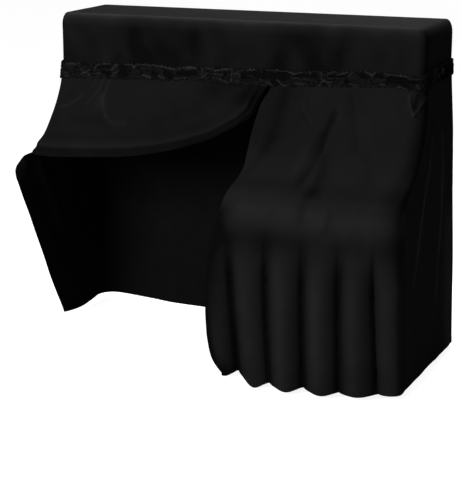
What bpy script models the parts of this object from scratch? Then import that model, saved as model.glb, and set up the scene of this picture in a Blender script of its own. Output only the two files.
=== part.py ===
"""A full-length velvet piano cover, in the shape in which it drapes.

The heights in the tables are above the level of the hem's corners, x runs from the middle to the right,
and y runs from the rear wall (0) towards the front (negative). Each piece is one sheet: a grid laid over
the draped form and thickened inwards. An empty carries them all, so that the origin is under the middle
of the top panel.
"""

from collections import namedtuple
from math import cos, exp, hypot, pi, sin

import bmesh
import bpy
import numpy as np

THICKNESS = 0.002
SEAM_GAP = 0.0006
REAR_SEAM_GAP = 0.0014
TOP_SEAM_GAP = 0.0013
TOP_HEIGHT = 1.300
TOP_TILT = 0.006
TILT_ABOVE = 1.130
TOP_DEPTH = 0.370
EDGE_ROLL = 0.026
ROLL_HEIGHT = 0.052
SEAM_PAST_CORNER = 0.012
HEM_HEIGHT = 0.004
REAR_HEM_DIP = 0.015
REAR_DIP_REACH = 0.250
SIDE_HEM_DIP = 0.012

# How finely the pieces are divided. Two pieces that share a seam have the same rows along it.
CORNER_STEPS = 4
SKIRT_ROWS = 20
SWAG_ROWS = 10

# The draped form: what the cloth's outer face follows where it has no fold. The corner columns hold the
# rounding of the front corners and of the rear ones.
Form = namedtuple("Form", "height half_width front back corner rear_corner")
DRAPED_FORM = [
    Form(0.000, 0.814, -0.722, 0.042, 0.085, 0.070),
    Form(0.150, 0.809, -0.722, 0.034, 0.080, 0.058),
    Form(0.350, 0.804, -0.724, 0.025, 0.078, 0.045),
    Form(0.550, 0.799, -0.726, 0.017, 0.078, 0.050),
    Form(0.640, 0.796, -0.722, 0.014, 0.074, 0.050),
    Form(0.695, 0.795, -0.704, 0.012, 0.068, 0.050),
    Form(0.730, 0.794, -0.668, 0.011, 0.060, 0.050),
    Form(0.755, 0.793, -0.620, 0.010, 0.052, 0.048),
    Form(0.785, 0.792, -0.560, 0.009, 0.045, 0.045),
    Form(0.820, 0.790, -0.512, 0.008, 0.042, 0.042),
    Form(0.870, 0.788, -0.463, 0.006, 0.038, 0.038),
    Form(0.930, 0.784, -0.418, 0.004, 0.034, 0.034),
    Form(1.000, 0.779, -0.384, 0.002, 0.031, 0.031),
    Form(1.060, 0.775, -0.372, 0.001, 0.030, 0.030),
    Form(1.120, 0.7725, -TOP_DEPTH, 0.000, 0.030, 0.030),
    Form(TOP_HEIGHT, 0.770, -TOP_DEPTH, 0.000, 0.032, 0.032),
]

# The ruched band climbs from the front left corner to the rear right one.
BAND_MIDDLE = 1.085
BAND_RISE_RIGHT = 0.037
BAND_RISE_REAR = 0.027
BAND_HALF_HEIGHT = 0.034
BAND_NARROWING = 0.005
BAND_STANDOFF = 0.0022
BAND_PUFF = 0.0025
RUCHE_LIFT = 0.003
RUCHE_PITCH = 0.075
RUCHE_SLANT = 0.9
GATHER_PITCH = 0.46
GATHER_START = -0.62
GATHER_REACH = 0.05
SCALLOP = 0.003

# The free left edge of the right front curtain.
EdgePoint = namedtuple("EdgePoint", "height x")
CURTAIN_EDGE = [
    EdgePoint(0.000, 0.112),
    EdgePoint(0.050, 0.066),
    EdgePoint(0.120, 0.048),
    EdgePoint(0.190, 0.046),
    EdgePoint(0.380, 0.056),
    EdgePoint(0.550, 0.074),
    EdgePoint(0.650, 0.106),
    EdgePoint(0.704, 0.122),
    EdgePoint(0.755, 0.139),
    EdgePoint(0.813, 0.124),
    EdgePoint(0.861, 0.116),
    EdgePoint(0.930, 0.117),
    EdgePoint(1.003, 0.133),
    EdgePoint(1.045, 0.158),
    EdgePoint(1.120, 0.162),
]

# The valleys between the front folds, from left to right: how far each stands out from the form at the
# hem, then the ridge to its right and how far the hem dips there.
Valley = namedtuple("Valley", "x hem_x out ridge dip top")
VALLEYS = [
    Valley(-0.010, 0.060, -0.020, 0.030, 0.016, 0.60),
    Valley(0.138, 0.165, -0.037, 0.036, 0.026, 0.60),
    Valley(0.294, 0.327, 0.043, 0.034, 0.014, 0.62),
    Valley(0.440, 0.460, 0.035, 0.034, 0.011, 0.62),
    Valley(0.580, 0.598, 0.029, 0.032, 0.006, 0.61),
    Valley(0.712, 0.736, -0.014, 0.020, 0.000, 0.60),
    Valley(0.870, 0.870, 0.000, 0.000, 0.000, 0.60),
]
VALLEY_DRIFT_BELOW = 0.50
VALLEY_DRIFT_POWER = 1.6
FOLD_FULL_DEPTH_AT = 0.38
RIDGE_FULLNESS = 1.9
DIP_LEAN = 1.25

# Creases, as straight stretches. A crease with a negative depth is a ridge.
Crease = namedtuple("Crease", "x height to_x to_height depth width")
RIGHT_CREASES = [
    Crease(0.446, 1.000, 0.417, 0.881, 0.007, 0.016),
    Crease(0.417, 0.881, 0.404, 0.816, 0.009, 0.018),
    Crease(0.404, 0.816, 0.425, 0.730, 0.008, 0.022),
    Crease(0.395, 0.950, 0.352, 0.800, -0.006, 0.024),
    Crease(0.310, 0.990, 0.389, 0.893, 0.004, 0.009),
    Crease(0.233, 1.040, 0.194, 0.900, 0.007, 0.022),
    Crease(0.194, 0.900, 0.233, 0.734, 0.007, 0.024),
    Crease(0.507, 1.020, 0.530, 0.857, 0.004, 0.020),
    Crease(0.715, 1.060, 0.734, 0.990, -0.005, 0.010),
    Crease(0.776, 1.060, 0.740, 0.990, -0.005, 0.010),
]
LEFT_CREASES = [
    Crease(-0.647, 1.000, -0.734, 0.918, -0.005, 0.010),
    Crease(-0.589, 1.010, -0.624, 0.940, -0.005, 0.009),
    Crease(-0.556, 1.010, -0.597, 0.942, -0.005, 0.009),
    Crease(-0.555, 1.000, -0.537, 0.942, -0.005, 0.012),
    Crease(-0.537, 0.942, -0.498, 0.896, -0.005, 0.013),
    Crease(-0.498, 0.896, -0.437, 0.879, -0.005, 0.015),
]

# The side creases are placed by depth: their x columns hold y.
SIDE_CREASES = [
    Crease(-0.155, 0.860, -0.165, 0.583, -0.005, 0.014),
    Crease(-0.165, 0.583, -0.214, 0.300, -0.006, 0.016),
    Crease(-0.273, 0.841, -0.351, 0.663, -0.005, 0.014),
    Crease(-0.351, 0.663, -0.485, 0.380, -0.006, 0.018),
    Crease(-0.090, 0.500, -0.070, 0.000, -0.007, 0.040),
    Crease(-0.600, 0.450, -0.640, 0.000, -0.006, 0.050),
]

# The swag: the free lower edge of the left front curtain.
SWAG_EDGE = [
    EdgePoint(0.756, -0.850),
    EdgePoint(0.756, -0.760),
    EdgePoint(0.755, -0.688),
    EdgePoint(0.760, -0.579),
    EdgePoint(0.766, -0.473),
    EdgePoint(0.774, -0.370),
    EdgePoint(0.788, -0.272),
    EdgePoint(0.804, -0.195),
    EdgePoint(0.819, -0.140),
    EdgePoint(0.837, -0.085),
    EdgePoint(0.853, -0.042),
    EdgePoint(0.878, 0.003),
    EdgePoint(0.912, 0.056),
    EdgePoint(0.947, 0.095),
    EdgePoint(1.004, 0.119),
    EdgePoint(1.057, 0.146),
]
SWAG_ROLL = 0.010
SWAG_ROLL_AT = 0.036
SWAG_ROLL_WIDTH = 0.018
SWAG_TUCK = 0.008
SWAG_TUCK_WIDTH = 0.012

# The front edge of the left side skirt below the swag: a hem drawn back on a diagonal. The flare is how
# far the cloth stands out from the form there.
SideEdge = namedtuple("SideEdge", "height y flare")
DRAWN_HEM = [
    SideEdge(0.000, -0.312, 0.006),
    SideEdge(0.150, -0.402, 0.008),
    SideEdge(0.300, -0.482, 0.009),
    SideEdge(0.500, -0.585, 0.011),
    SideEdge(0.631, -0.652, 0.014),
    SideEdge(0.680, -0.675, 0.015),
    SideEdge(0.702, -0.678, 0.014),
    SideEdge(0.725, -0.662, 0.011),
    SideEdge(0.745, -0.615, 0.006),
    SideEdge(0.756, -0.560, 0.000),
]
DRAWN_FOLDS = [
    Crease(-0.600, 0.740, -0.330, 0.300, -0.012, 0.035),
    Crease(-0.520, 0.700, -0.330, 0.400, 0.008, 0.025),
    Crease(-0.450, 0.800, -0.200, 0.200, -0.010, 0.045),
    Crease(-0.250, 0.800, -0.080, 0.150, -0.008, 0.045),
]
FLARE_REACH = 0.160

BACK_FOLDS = [
    Crease(-0.520, 0.700, -0.560, 0.000, -0.010, 0.070),
    Crease(-0.120, 0.600, -0.100, 0.000, -0.008, 0.080),
    Crease(0.330, 0.650, 0.350, 0.000, -0.010, 0.070),
]


def smooth(low, high, value):
    share = min(max((value - low) / (high - low), 0.0), 1.0)
    return share * share * (3 - 2 * share)


def through(table, along, wanted, value):
    """A smooth curve through a table: the wanted column where the column called along is value."""
    places = np.array([getattr(row, along) for row in table])
    column = np.array([getattr(row, wanted) for row in table])
    slopes = np.gradient(column, places)
    value = min(max(value, places[0]), places[-1])
    i = min(int(np.searchsorted(places, value, side="right")) - 1, len(places) - 2)
    span = places[i + 1] - places[i]
    t = (value - places[i]) / span
    return float(
        (2 * t**3 - 3 * t**2 + 1) * column[i]
        + (t**3 - 2 * t**2 + t) * span * slopes[i]
        + (3 * t**2 - 2 * t**3) * column[i + 1]
        + (t**3 - t**2) * span * slopes[i + 1]
    )


def form_at(height):
    sizes = [through(DRAPED_FORM, "height", name, height) for name in Form._fields[1:]]
    return Form(height, *sizes)


def tilted(x, height):
    """A height above the band, where the top climbs a little to the right."""
    return height + TOP_TILT * x * smooth(TILT_ABOVE, TOP_HEIGHT, height)


def rolled(angle):
    """The form on the roll over the top's edge, from 0 at the wall to a right angle at the top."""
    wall = form_at(TOP_HEIGHT)
    inset = EDGE_ROLL * (1 - cos(angle))
    height = TOP_HEIGHT - ROLL_HEIGHT * (1 - sin(angle))
    corner = wall.corner - inset
    return Form(height, wall.half_width - inset, wall.front + inset, wall.back - inset, corner, corner)


def corner_start(form):
    return form.half_width - form.corner


def front_seam_y(form):
    return form.front + form.corner + SEAM_PAST_CORNER


def back_seam_y(form):
    return form.back - form.rear_corner - SEAM_PAST_CORNER


def outline(form, run):
    """A point of the form's outline and its outward direction, by the run from the front's middle."""
    side = 1 if run >= 0 else -1
    run = abs(run)
    quarter = form.corner * pi / 2
    if run <= corner_start(form):
        return (side * run, form.front), (0.0, -1.0)
    turn = (run - corner_start(form)) / form.corner
    if turn <= pi / 2:
        x = corner_start(form) + form.corner * sin(turn)
        return (side * x, form.front + form.corner * (1 - cos(turn))), (side * sin(turn), -cos(turn))
    y = form.front + form.corner + run - corner_start(form) - quarter
    return (side * form.half_width, y), (side, 0.0)


def seen_from_rear(form):
    return form._replace(front=-form.back, back=-form.front, corner=form.rear_corner)


def rear_outline(form, run):
    """The same for the rear, by the run from the rear's middle towards the left."""
    (x, y), (out_x, out_y) = outline(seen_from_rear(form), run)
    return (-x, -y), (-out_x, -out_y)


def runs_past_corner(form):
    """The runs round one front or rear corner, to the seam just past it."""
    quarter = form.corner * pi / 2
    runs = [corner_start(form) + quarter * step / CORNER_STEPS for step in range(1, CORNER_STEPS + 1)]
    return runs + [corner_start(form) + quarter + SEAM_PAST_CORNER]


def wall_runs(form, columns):
    """The runs of a wall that turns both corners, from its left seam to its right one."""
    past = runs_past_corner(form)
    flat = np.linspace(-corner_start(form), corner_start(form), columns + 1)
    return [-run for run in reversed(past)] + list(flat) + past


def band_middle(x, y):
    return BAND_MIDDLE + BAND_RISE_RIGHT * x + BAND_RISE_REAR * (y + TOP_DEPTH)


def band_half_height(x):
    return BAND_HALF_HEIGHT - BAND_NARROWING * x


def below_band(x, y, height):
    """0 under the band and 1 well below it, so that no fold pushes into the band."""
    return smooth(0.004, 0.050, band_middle(x, y) - band_half_height(x) - height)


def distance(x, height, crease):
    run, rise = crease.to_x - crease.x, crease.to_height - crease.height
    share = ((x - crease.x) * run + (height - crease.height) * rise) / (run * run + rise * rise)
    share = min(max(share, 0.0), 1.0)
    return hypot(x - crease.x - share * run, height - crease.height - share * rise)


def creased(creases, x, height):
    return -sum(c.depth * exp(-((distance(x, height, c) / c.width) ** 2)) for c in creases)


def fold_at(x, height):
    """The valleys to the left and right of a place, and the share of the way between them."""
    drift = max(1 - height / VALLEY_DRIFT_BELOW, 0.0) ** VALLEY_DRIFT_POWER
    places = [valley.x + (valley.hem_x - valley.x) * drift for valley in VALLEYS]
    i = min(max(int(np.searchsorted(places, x)) - 1, 0), len(VALLEYS) - 2)
    share = min(max((x - places[i]) / (places[i + 1] - places[i]), 0.0), 1.0)
    return VALLEYS[i], VALLEYS[i + 1], share


def folds(x, height):
    """The front folds: round ridges with narrow valleys between, which start below the step."""
    left, right, share = fold_at(x, height)
    top = left.top + (right.top - left.top) * share
    if height >= top:
        return 0.0
    hanging = (left.out + (right.out - left.out) * share) * (top - height) / top
    round_ridge = left.ridge * (1 - abs(2 * share - 1) ** RIDGE_FULLNESS)
    return hanging + round_ridge * smooth(top, FOLD_FULL_DEPTH_AT, height)


def hem_dip(x):
    left, _, share = fold_at(x, HEM_HEIGHT)
    return left.dip * sin(pi * share**DIP_LEAN) ** 2


def new_sheet(name, columns, rows, point, closed=False, outwards=False):
    """A grid whose corners are placed by point(column, row), thickened to a sheet of cloth."""
    mesh = bpy.data.meshes.new(name)
    grid = bmesh.new()
    bmesh.ops.create_grid(grid, x_segments=columns, y_segments=rows, size=0.5)
    for corner in grid.verts:
        column = round((corner.co.x + 0.5) * columns)
        row = round((corner.co.y + 0.5) * rows)
        corner.co = point(column, row)
    if closed:
        bmesh.ops.remove_doubles(grid, verts=grid.verts, dist=1e-6)
    grid.to_mesh(mesh)
    grid.free()
    mesh.shade_smooth()
    piece = bpy.data.objects.new(name, mesh)
    cloth = piece.modifiers.new("Cloth", "SOLIDIFY")
    cloth.thickness = THICKNESS
    cloth.offset = 1 if outwards else -1
    cloth.use_even_offset = True
    mesh.materials.append(velvet(name))
    bpy.data.collections[COLLECTION].objects.link(piece)
    return piece


def velvet(name):
    material = bpy.data.materials.new(f"{name} velvet")
    material.use_nodes = True
    shader = material.node_tree.nodes["Principled BSDF"]
    shader.inputs["Base Color"].default_value = (0.012, 0.012, 0.013, 1.0)
    shader.inputs["Roughness"].default_value = 0.9
    shader.inputs["Metallic"].default_value = 0.0
    shader.inputs["Sheen Weight"].default_value = 0.4
    return material


def top_panel():
    columns, rows = 10, 4
    half_width = form_at(TOP_HEIGHT).half_width - EDGE_ROLL - TOP_SEAM_GAP
    front = -TOP_DEPTH + EDGE_ROLL + TOP_SEAM_GAP
    back = -EDGE_ROLL - TOP_SEAM_GAP
    corner_cut = 0.003

    def point(column, row):
        x = half_width * (2 * column / columns - 1)
        y = front + (back - front) * row / rows
        if column in (0, columns) and row in (0, rows):
            x -= corner_cut if column else -corner_cut
            y -= corner_cut if row else -corner_cut
        return x, y, tilted(x, TOP_HEIGHT)

    return new_sheet("top_panel", columns, rows, point)


def fascia_form(row, wall_rows, roll_rows, x, y):
    if row > wall_rows:
        return rolled(pi / 2 * (row - wall_rows) / roll_rows)
    low = band_middle(x, y) + SEAM_GAP / 2
    high = TOP_HEIGHT - ROLL_HEIGHT
    return form_at(TOP_HEIGHT)._replace(height=low + (high - low) * row / wall_rows)


def fascia_wall(name, columns, wall_outline):
    """A front or rear fascia, which turns both corners and rolls over the top's edge."""
    wall_rows, roll_rows = 2, 5

    def point(column, row):
        run = wall_runs(form_at(TOP_HEIGHT), columns)[column]
        place, _ = wall_outline(form_at(TOP_HEIGHT), run)
        form = fascia_form(row, wall_rows, roll_rows, *place)
        (x, y), _ = wall_outline(form, wall_runs(form, columns)[column])
        return x, y, tilted(x, form.height)

    return new_sheet(name, len(wall_runs(form_at(TOP_HEIGHT), columns)) - 1, wall_rows + roll_rows, point)


def side_depths(form, columns):
    return np.linspace(front_seam_y(form) + SEAM_GAP, back_seam_y(form) - REAR_SEAM_GAP, columns + 1)


def fascia_side(name, side):
    columns, wall_rows, roll_rows = 6, 2, 5

    def point(column, row):
        place = column if side > 0 else columns - column
        y = side_depths(form_at(TOP_HEIGHT), columns)[place]
        form = fascia_form(row, wall_rows, roll_rows, side * form_at(TOP_HEIGHT).half_width, y)
        x = side * form.half_width
        return x, side_depths(form, columns)[place], tilted(x, form.height)

    return new_sheet(name, columns, wall_rows + roll_rows, point)


def band_stations():
    """Where the band's columns stand: the outline's kind, its run and the run so far."""
    form = form_at(BAND_MIDDLE)
    front_columns, side_columns = 60, 14
    front = np.linspace(-corner_start(form), corner_start(form), front_columns + 1)
    corner = [step / CORNER_STEPS for step in range(1, CORNER_STEPS + 1)]
    corner_back = [1 - step / CORNER_STEPS for step in range(CORNER_STEPS)]
    stations = [("front", x) for x in front]
    stations += [("right front", share) for share in corner]
    stations += [("right", share / side_columns) for share in range(1, side_columns)]
    stations += [("right back", share) for share in corner_back]
    stations += [("back", x) for x in front]
    stations += [("left back", share) for share in corner]
    stations += [("left", share / side_columns) for share in range(1, side_columns)]
    stations += [("left front", share) for share in corner_back]
    return stations + [("front", front[0])]


def band_place(form, kind, value):
    quarter = form.corner * pi / 2
    if kind == "front":
        return outline(form, value)
    if kind == "back":
        return rear_outline(form, value)
    front_y, back_y = form.front + form.corner, form.back - form.corner
    if kind == "right":
        return (form.half_width, front_y + (back_y - front_y) * value), (1.0, 0.0)
    if kind == "left":
        return (-form.half_width, back_y - (back_y - front_y) * value), (-1.0, 0.0)
    run = corner_start(form) + quarter * value
    if kind == "right front":
        return outline(form, run)
    if kind == "left front":
        return outline(form, -run)
    return rear_outline(form, -run if kind == "right back" else run)


def ruche(travel, across):
    """How far the gathered strip stands out, by the way along it and from -1 to 1 across it."""
    to_gather = abs((travel - GATHER_START + GATHER_PITCH / 2) % GATHER_PITCH - GATHER_PITCH / 2)
    open_stretch = smooth(0.0, GATHER_REACH, to_gather)
    wave = 0.5 + 0.5 * sin(2 * pi * travel / RUCHE_PITCH + RUCHE_SLANT * across)
    puff = BAND_PUFF * (1 - across * across) * (0.35 + 0.65 * open_stretch)
    return puff + RUCHE_LIFT * wave * (1 - 0.5 * open_stretch)


def trim_band():
    rows = 4
    stations = band_stations()
    places = [band_place(form_at(BAND_MIDDLE), *station)[0] for station in stations]
    steps = [hypot(b[0] - a[0], b[1] - a[1]) for a, b in zip(places, places[1:])]
    travels = np.concatenate([[0.0], np.cumsum(steps)])
    ruches = round(travels[-1] / RUCHE_PITCH)
    travels = travels / travels[-1] * ruches * RUCHE_PITCH

    def point(column, row):
        across = 2 * row / rows - 1
        travel = travels[column] if column < len(stations) - 1 else travels[0]
        x, y = places[column]
        scallop = SCALLOP * sin(2 * pi * travel / RUCHE_PITCH + across) * abs(across)
        height = band_middle(x, y) + band_half_height(x) * across + scallop
        form = form_at(height)
        (x, y), (out_x, out_y) = band_place(form, *stations[column])
        out = BAND_STANDOFF + ruche(travel, across)
        return x + out_x * out, y + out_y * out, height

    return new_sheet("trim_band", len(stations) - 1, rows, point, closed=True, outwards=True)


def profile_shares(rows):
    """Row heights as shares from the hem to the band, evenly spaced along the front's profile."""
    heights = np.linspace(HEM_HEIGHT, BAND_MIDDLE, 200)
    fronts = [form_at(height).front for height in heights]
    lengths = np.concatenate([[0.0], np.cumsum(np.hypot(np.diff(heights), np.diff(fronts)))])
    even = np.interp(np.linspace(0, lengths[-1], rows + 1), lengths, heights)
    return (even - HEM_HEIGHT) / (BAND_MIDDLE - HEM_HEIGHT)


def curtain_right():
    columns, rows = 34, SKIRT_ROWS
    shares = profile_shares(rows)

    def runs(form):
        start = through(CURTAIN_EDGE, "height", "x", form.height)
        return list(np.linspace(start, corner_start(form), columns + 1)) + runs_past_corner(form)

    def point(column, row):
        place, _ = outline(form_at(BAND_MIDDLE), runs(form_at(BAND_MIDDLE))[column])
        top = band_middle(*place) - SEAM_GAP / 2
        hem = HEM_HEIGHT - hem_dip(runs(form_at(HEM_HEIGHT))[column])
        height = hem + (top - hem) * shares[row]
        form = form_at(height)._replace(height=height)
        run = runs(form)[column]
        (x, y), (out_x, out_y) = outline(form, run)
        seam = corner_start(form) + form.corner * pi / 2 + SEAM_PAST_CORNER
        at_seam = smooth(seam, seam - 0.07, run) if run < seam else 0.0
        out = folds(run, form.height) + creased(RIGHT_CREASES, run, form.height)
        out *= at_seam * below_band(x, y, form.height)
        return x + out_x * out, y + out_y * out, form.height

    return new_sheet("curtain_right", columns + CORNER_STEPS + 1, rows, point)


def swag_hem(x, height):
    """The soft roll just above the swag's free edge, and the edge tucked in under it."""
    near = min(
        distance(x, height, Crease(a.x, a.height, b.x, b.height, 0, 0))
        for a, b in zip(SWAG_EDGE, SWAG_EDGE[1:])
    )
    roll = SWAG_ROLL * exp(-(((near - SWAG_ROLL_AT) / SWAG_ROLL_WIDTH) ** 2))
    return roll - SWAG_TUCK * exp(-((near / SWAG_TUCK_WIDTH) ** 2))


def curtain_left():
    columns, rows = 32, SWAG_ROWS

    def runs(form):
        past = [-run for run in reversed(runs_past_corner(form))]
        return past + list(np.linspace(-corner_start(form), SWAG_EDGE[-1].x, columns + 1))

    def point(column, row):
        place, _ = outline(form_at(BAND_MIDDLE), runs(form_at(BAND_MIDDLE))[column])
        top = band_middle(*place) - SEAM_GAP / 2
        low = through(SWAG_EDGE, "x", "height", place[0])
        form = form_at(low + (top - low) * row / rows)
        run = runs(form)[column]
        (x, y), (out_x, out_y) = outline(form, run)
        seam = -corner_start(form) - form.corner * pi / 2 - SEAM_PAST_CORNER
        out = creased(LEFT_CREASES, run, form.height) + swag_hem(run, form.height)
        out *= smooth(seam, seam + 0.07, run) * below_band(x, y, form.height)
        return x + out_x * out, y + out_y * out, form.height

    return new_sheet("curtain_left", columns + CORNER_STEPS + 1, rows, point)


def at_side_seams(form, y):
    from_front = smooth(0.0, 0.06, y - front_seam_y(form))
    return from_front * smooth(0.0, 0.06, back_seam_y(form) - y)


def side_right():
    columns, rows = 16, SKIRT_ROWS
    shares = profile_shares(rows)

    def point(column, row):
        y = side_depths(form_at(BAND_MIDDLE), columns)[column]
        top = band_middle(form_at(BAND_MIDDLE).half_width, y) - SEAM_GAP / 2
        form = form_at(HEM_HEIGHT + (top - HEM_HEIGHT) * shares[row])
        y = side_depths(form, columns)[column]
        out = creased(SIDE_CREASES, y, form.height) * at_side_seams(form, y)
        out *= below_band(form.half_width, y, form.height)
        return form.half_width + out, y, form.height

    return new_sheet("side_right", columns, rows, point)


def side_left():
    columns, hem_rows = 16, 10
    swag_corner = SWAG_EDGE[0].height

    def front_edge(form):
        if form.height >= swag_corner:
            return front_seam_y(form) + SEAM_GAP, 0.0
        y = through(DRAWN_HEM, "height", "y", form.height)
        return y, through(DRAWN_HEM, "height", "flare", form.height)

    def point(column, row):
        share = column / columns
        hem = HEM_HEIGHT - SIDE_HEM_DIP * 4 * share * (1 - share)
        back = back_seam_y(form_at(BAND_MIDDLE))
        y = back + (front_seam_y(form_at(BAND_MIDDLE)) - back) * share
        top = band_middle(-form_at(BAND_MIDDLE).half_width, y) - SEAM_GAP / 2
        known = (hem, 0.62, swag_corner, top)
        height = np.interp(row, (0, hem_rows - 5, hem_rows, hem_rows + SWAG_ROWS), known)
        form = form_at(float(height))
        edge, flare = front_edge(form)
        back = back_seam_y(form) - REAR_SEAM_GAP
        y = back + (edge - back) * share
        flared = flare * smooth(FLARE_REACH, 0.0, y - edge) if y - edge < FLARE_REACH else 0.0
        folded = creased(DRAWN_FOLDS, y, form.height) * smooth(0.0, 0.06, back - y)
        if form.height >= swag_corner:
            folded *= smooth(0.0, 0.06, y - edge)
        out = flared + folded * below_band(-form.half_width, y, form.height)
        return -form.half_width - out, y, form.height

    return new_sheet("side_left", columns, hem_rows + SWAG_ROWS, point)


def back_panel():
    columns, rows = 18, 10

    def place_at(height, column):
        form = seen_from_rear(form_at(height))
        run = wall_runs(form, columns)[column]
        return corner_start(form) - abs(run), *rear_outline(form_at(height), run)

    def point(column, row):
        _, place, _ = place_at(BAND_MIDDLE, column)
        top = band_middle(*place) - SEAM_GAP / 2
        from_corner, _, _ = place_at(HEM_HEIGHT, column)
        hem = HEM_HEIGHT - REAR_HEM_DIP * smooth(0.0, REAR_DIP_REACH, from_corner)
        form = form_at(hem + (top - hem) * row / rows)
        from_corner, (x, y), (out_x, out_y) = place_at(form.height, column)
        out = creased(BACK_FOLDS, x, form.height) * smooth(0.0, 0.06, from_corner)
        out *= below_band(x, y, form.height)
        return x + out_x * out, y + out_y * out, form.height

    return new_sheet("back_panel", len(wall_runs(form_at(BAND_MIDDLE), columns)) - 1, rows, point)


for leftover in list(bpy.data.objects):
    bpy.data.objects.remove(leftover)

COLLECTION = "piano cover"
bpy.context.scene.collection.children.link(bpy.data.collections.new(COLLECTION))

pieces = [
    top_panel(),
    fascia_wall("fascia_front", 16, outline),
    fascia_side("fascia_right", 1),
    fascia_wall("fascia_back", 12, rear_outline),
    fascia_side("fascia_left", -1),
    trim_band(),
    curtain_right(),
    curtain_left(),
    side_right(),
    side_left(),
    back_panel(),
]

# The origin is where the cover bears its weight: under the middle of its top.
hanging_point = bpy.data.objects.new("hanging_point", None)
hanging_point.location = (0.0, TOP_DEPTH / 2, THICKNESS - TOP_HEIGHT)
bpy.data.collections[COLLECTION].objects.link(hanging_point)
for piece in pieces:
    piece.parent = hanging_point
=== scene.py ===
from math import pi
from types import SimpleNamespace

import bpy
import numpy as np
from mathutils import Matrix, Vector


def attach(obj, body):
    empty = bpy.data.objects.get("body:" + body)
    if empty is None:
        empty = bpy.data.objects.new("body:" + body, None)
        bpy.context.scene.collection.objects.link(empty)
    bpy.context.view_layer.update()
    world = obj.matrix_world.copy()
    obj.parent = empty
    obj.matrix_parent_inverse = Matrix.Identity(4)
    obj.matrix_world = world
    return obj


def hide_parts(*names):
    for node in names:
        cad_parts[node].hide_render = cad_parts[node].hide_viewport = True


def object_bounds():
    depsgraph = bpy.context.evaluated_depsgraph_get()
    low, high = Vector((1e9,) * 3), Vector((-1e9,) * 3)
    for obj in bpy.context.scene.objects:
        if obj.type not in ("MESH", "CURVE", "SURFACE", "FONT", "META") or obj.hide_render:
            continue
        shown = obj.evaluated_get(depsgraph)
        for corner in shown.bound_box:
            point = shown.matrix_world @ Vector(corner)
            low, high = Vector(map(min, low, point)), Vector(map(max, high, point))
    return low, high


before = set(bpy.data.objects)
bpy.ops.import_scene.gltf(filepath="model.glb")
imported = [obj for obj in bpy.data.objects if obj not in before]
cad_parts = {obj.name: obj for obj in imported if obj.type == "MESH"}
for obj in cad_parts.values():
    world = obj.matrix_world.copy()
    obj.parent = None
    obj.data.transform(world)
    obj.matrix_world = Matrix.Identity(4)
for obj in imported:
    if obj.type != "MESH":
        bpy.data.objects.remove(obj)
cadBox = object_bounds()
print("frame loaded")

# Heights are above the hem's corners, x is 0 in the middle and y is 0 at the rear wall, negative in front
drape = {
    "thickness": 0.002,
    "seamGap": -0.0003,  # the dipped edges cross a little at a seam, so that it is closed
    "topHeight": 1.300,
    "topTilt": 0.006,
    "tiltAbove": 1.130,
    "topDepth": 0.370,
    "edgeRoll": 0.026,
    "rollHeight": 0.052,
    "seamPastCorner": 0.012,
    "hemHeight": 0.004,
    "rearHemDip": 0.015,
    "rearDipReach": 0.250,
    "sideHemDip": 0.012,
    "hemFold": 0.022,  # how far up the hem is turned
    "hemStitch": 0.001,
    "hemLift": 0.0007,
    "seamDip": 0.0013,
    "seamDipWidth": 0.003,
    "smoothAngle": 1.0,
    "profileSteps": 400,
    "waveSizes": (0.6, 1.7),
}
origin = (0, drape["topDepth"] / 2, drape["thickness"] - drape["topHeight"])


def columns(names, rows):
    return SimpleNamespace(**dict(zip(names.split(), np.array(rows, float).T)))


drapedForm = columns("height halfWidth front back corner rearCorner", [
    (0.000, 0.814, -0.722, 0.042, 0.085, 0.070),
    (0.150, 0.809, -0.722, 0.034, 0.080, 0.058),
    (0.350, 0.804, -0.724, 0.025, 0.078, 0.045),
    (0.550, 0.799, -0.726, 0.017, 0.078, 0.050),
    (0.640, 0.796, -0.722, 0.014, 0.074, 0.050),
    (0.695, 0.795, -0.704, 0.012, 0.068, 0.050),
    (0.730, 0.794, -0.668, 0.011, 0.060, 0.050),
    (0.755, 0.793, -0.620, 0.010, 0.052, 0.048),
    (0.785, 0.792, -0.560, 0.009, 0.045, 0.045),
    (0.820, 0.790, -0.512, 0.008, 0.042, 0.042),
    (0.870, 0.788, -0.463, 0.006, 0.038, 0.038),
    (0.930, 0.784, -0.418, 0.004, 0.034, 0.034),
    (1.000, 0.779, -0.384, 0.002, 0.031, 0.031),
    (1.060, 0.775, -0.372, 0.001, 0.030, 0.030),
    (1.120, 0.7725, -0.370, 0.000, 0.030, 0.030),
    (1.300, 0.770, -0.370, 0.000, 0.032, 0.032),
])


def smooth(low, high, value):
    share = np.clip((value - low) / (high - low), 0, 1)
    return share * share * (3 - 2 * share)


def bump(value, width):
    return np.exp(-((value / width) ** 2))


def dipAt(toSeam):  # how far a sheet dips towards its seam
    return drape["seamDip"] * bump(toSeam, drape["seamDipWidth"])


def through(places, column, value):  # a smooth curve through a table
    slopes = np.gradient(column, places)
    value = np.clip(value, places[0], places[-1])
    i = np.clip(np.searchsorted(places, value, side="right") - 1, 0, len(places) - 2)
    span = places[i + 1] - places[i]
    t = (value - places[i]) / span
    return (
        (2 * t**3 - 3 * t**2 + 1) * column[i]
        + (t**3 - 2 * t**2 + t) * span * slopes[i]
        + (3 * t**2 - 2 * t**3) * column[i + 1]
        + (t**3 - t**2) * span * slopes[i + 1]
    )


def formAt(height):
    f = drapedForm
    names = ("halfWidth", "front", "back", "corner", "rearCorner")
    return madeForm(height, *(through(f.height, getattr(f, name), height) for name in names))


def madeForm(height, halfWidth, front, back, corner, rearCorner):
    form = SimpleNamespace(height=height, halfWidth=halfWidth, front=front, back=back)
    form.corner, form.rearCorner = corner, rearCorner
    form.cornerStart = halfWidth - corner
    form.seamRun = form.cornerStart + corner * pi / 2 + drape["seamPastCorner"]
    form.frontSeam = front + corner + drape["seamPastCorner"]
    form.backSeam = back - rearCorner - drape["seamPastCorner"]
    return form


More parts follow.
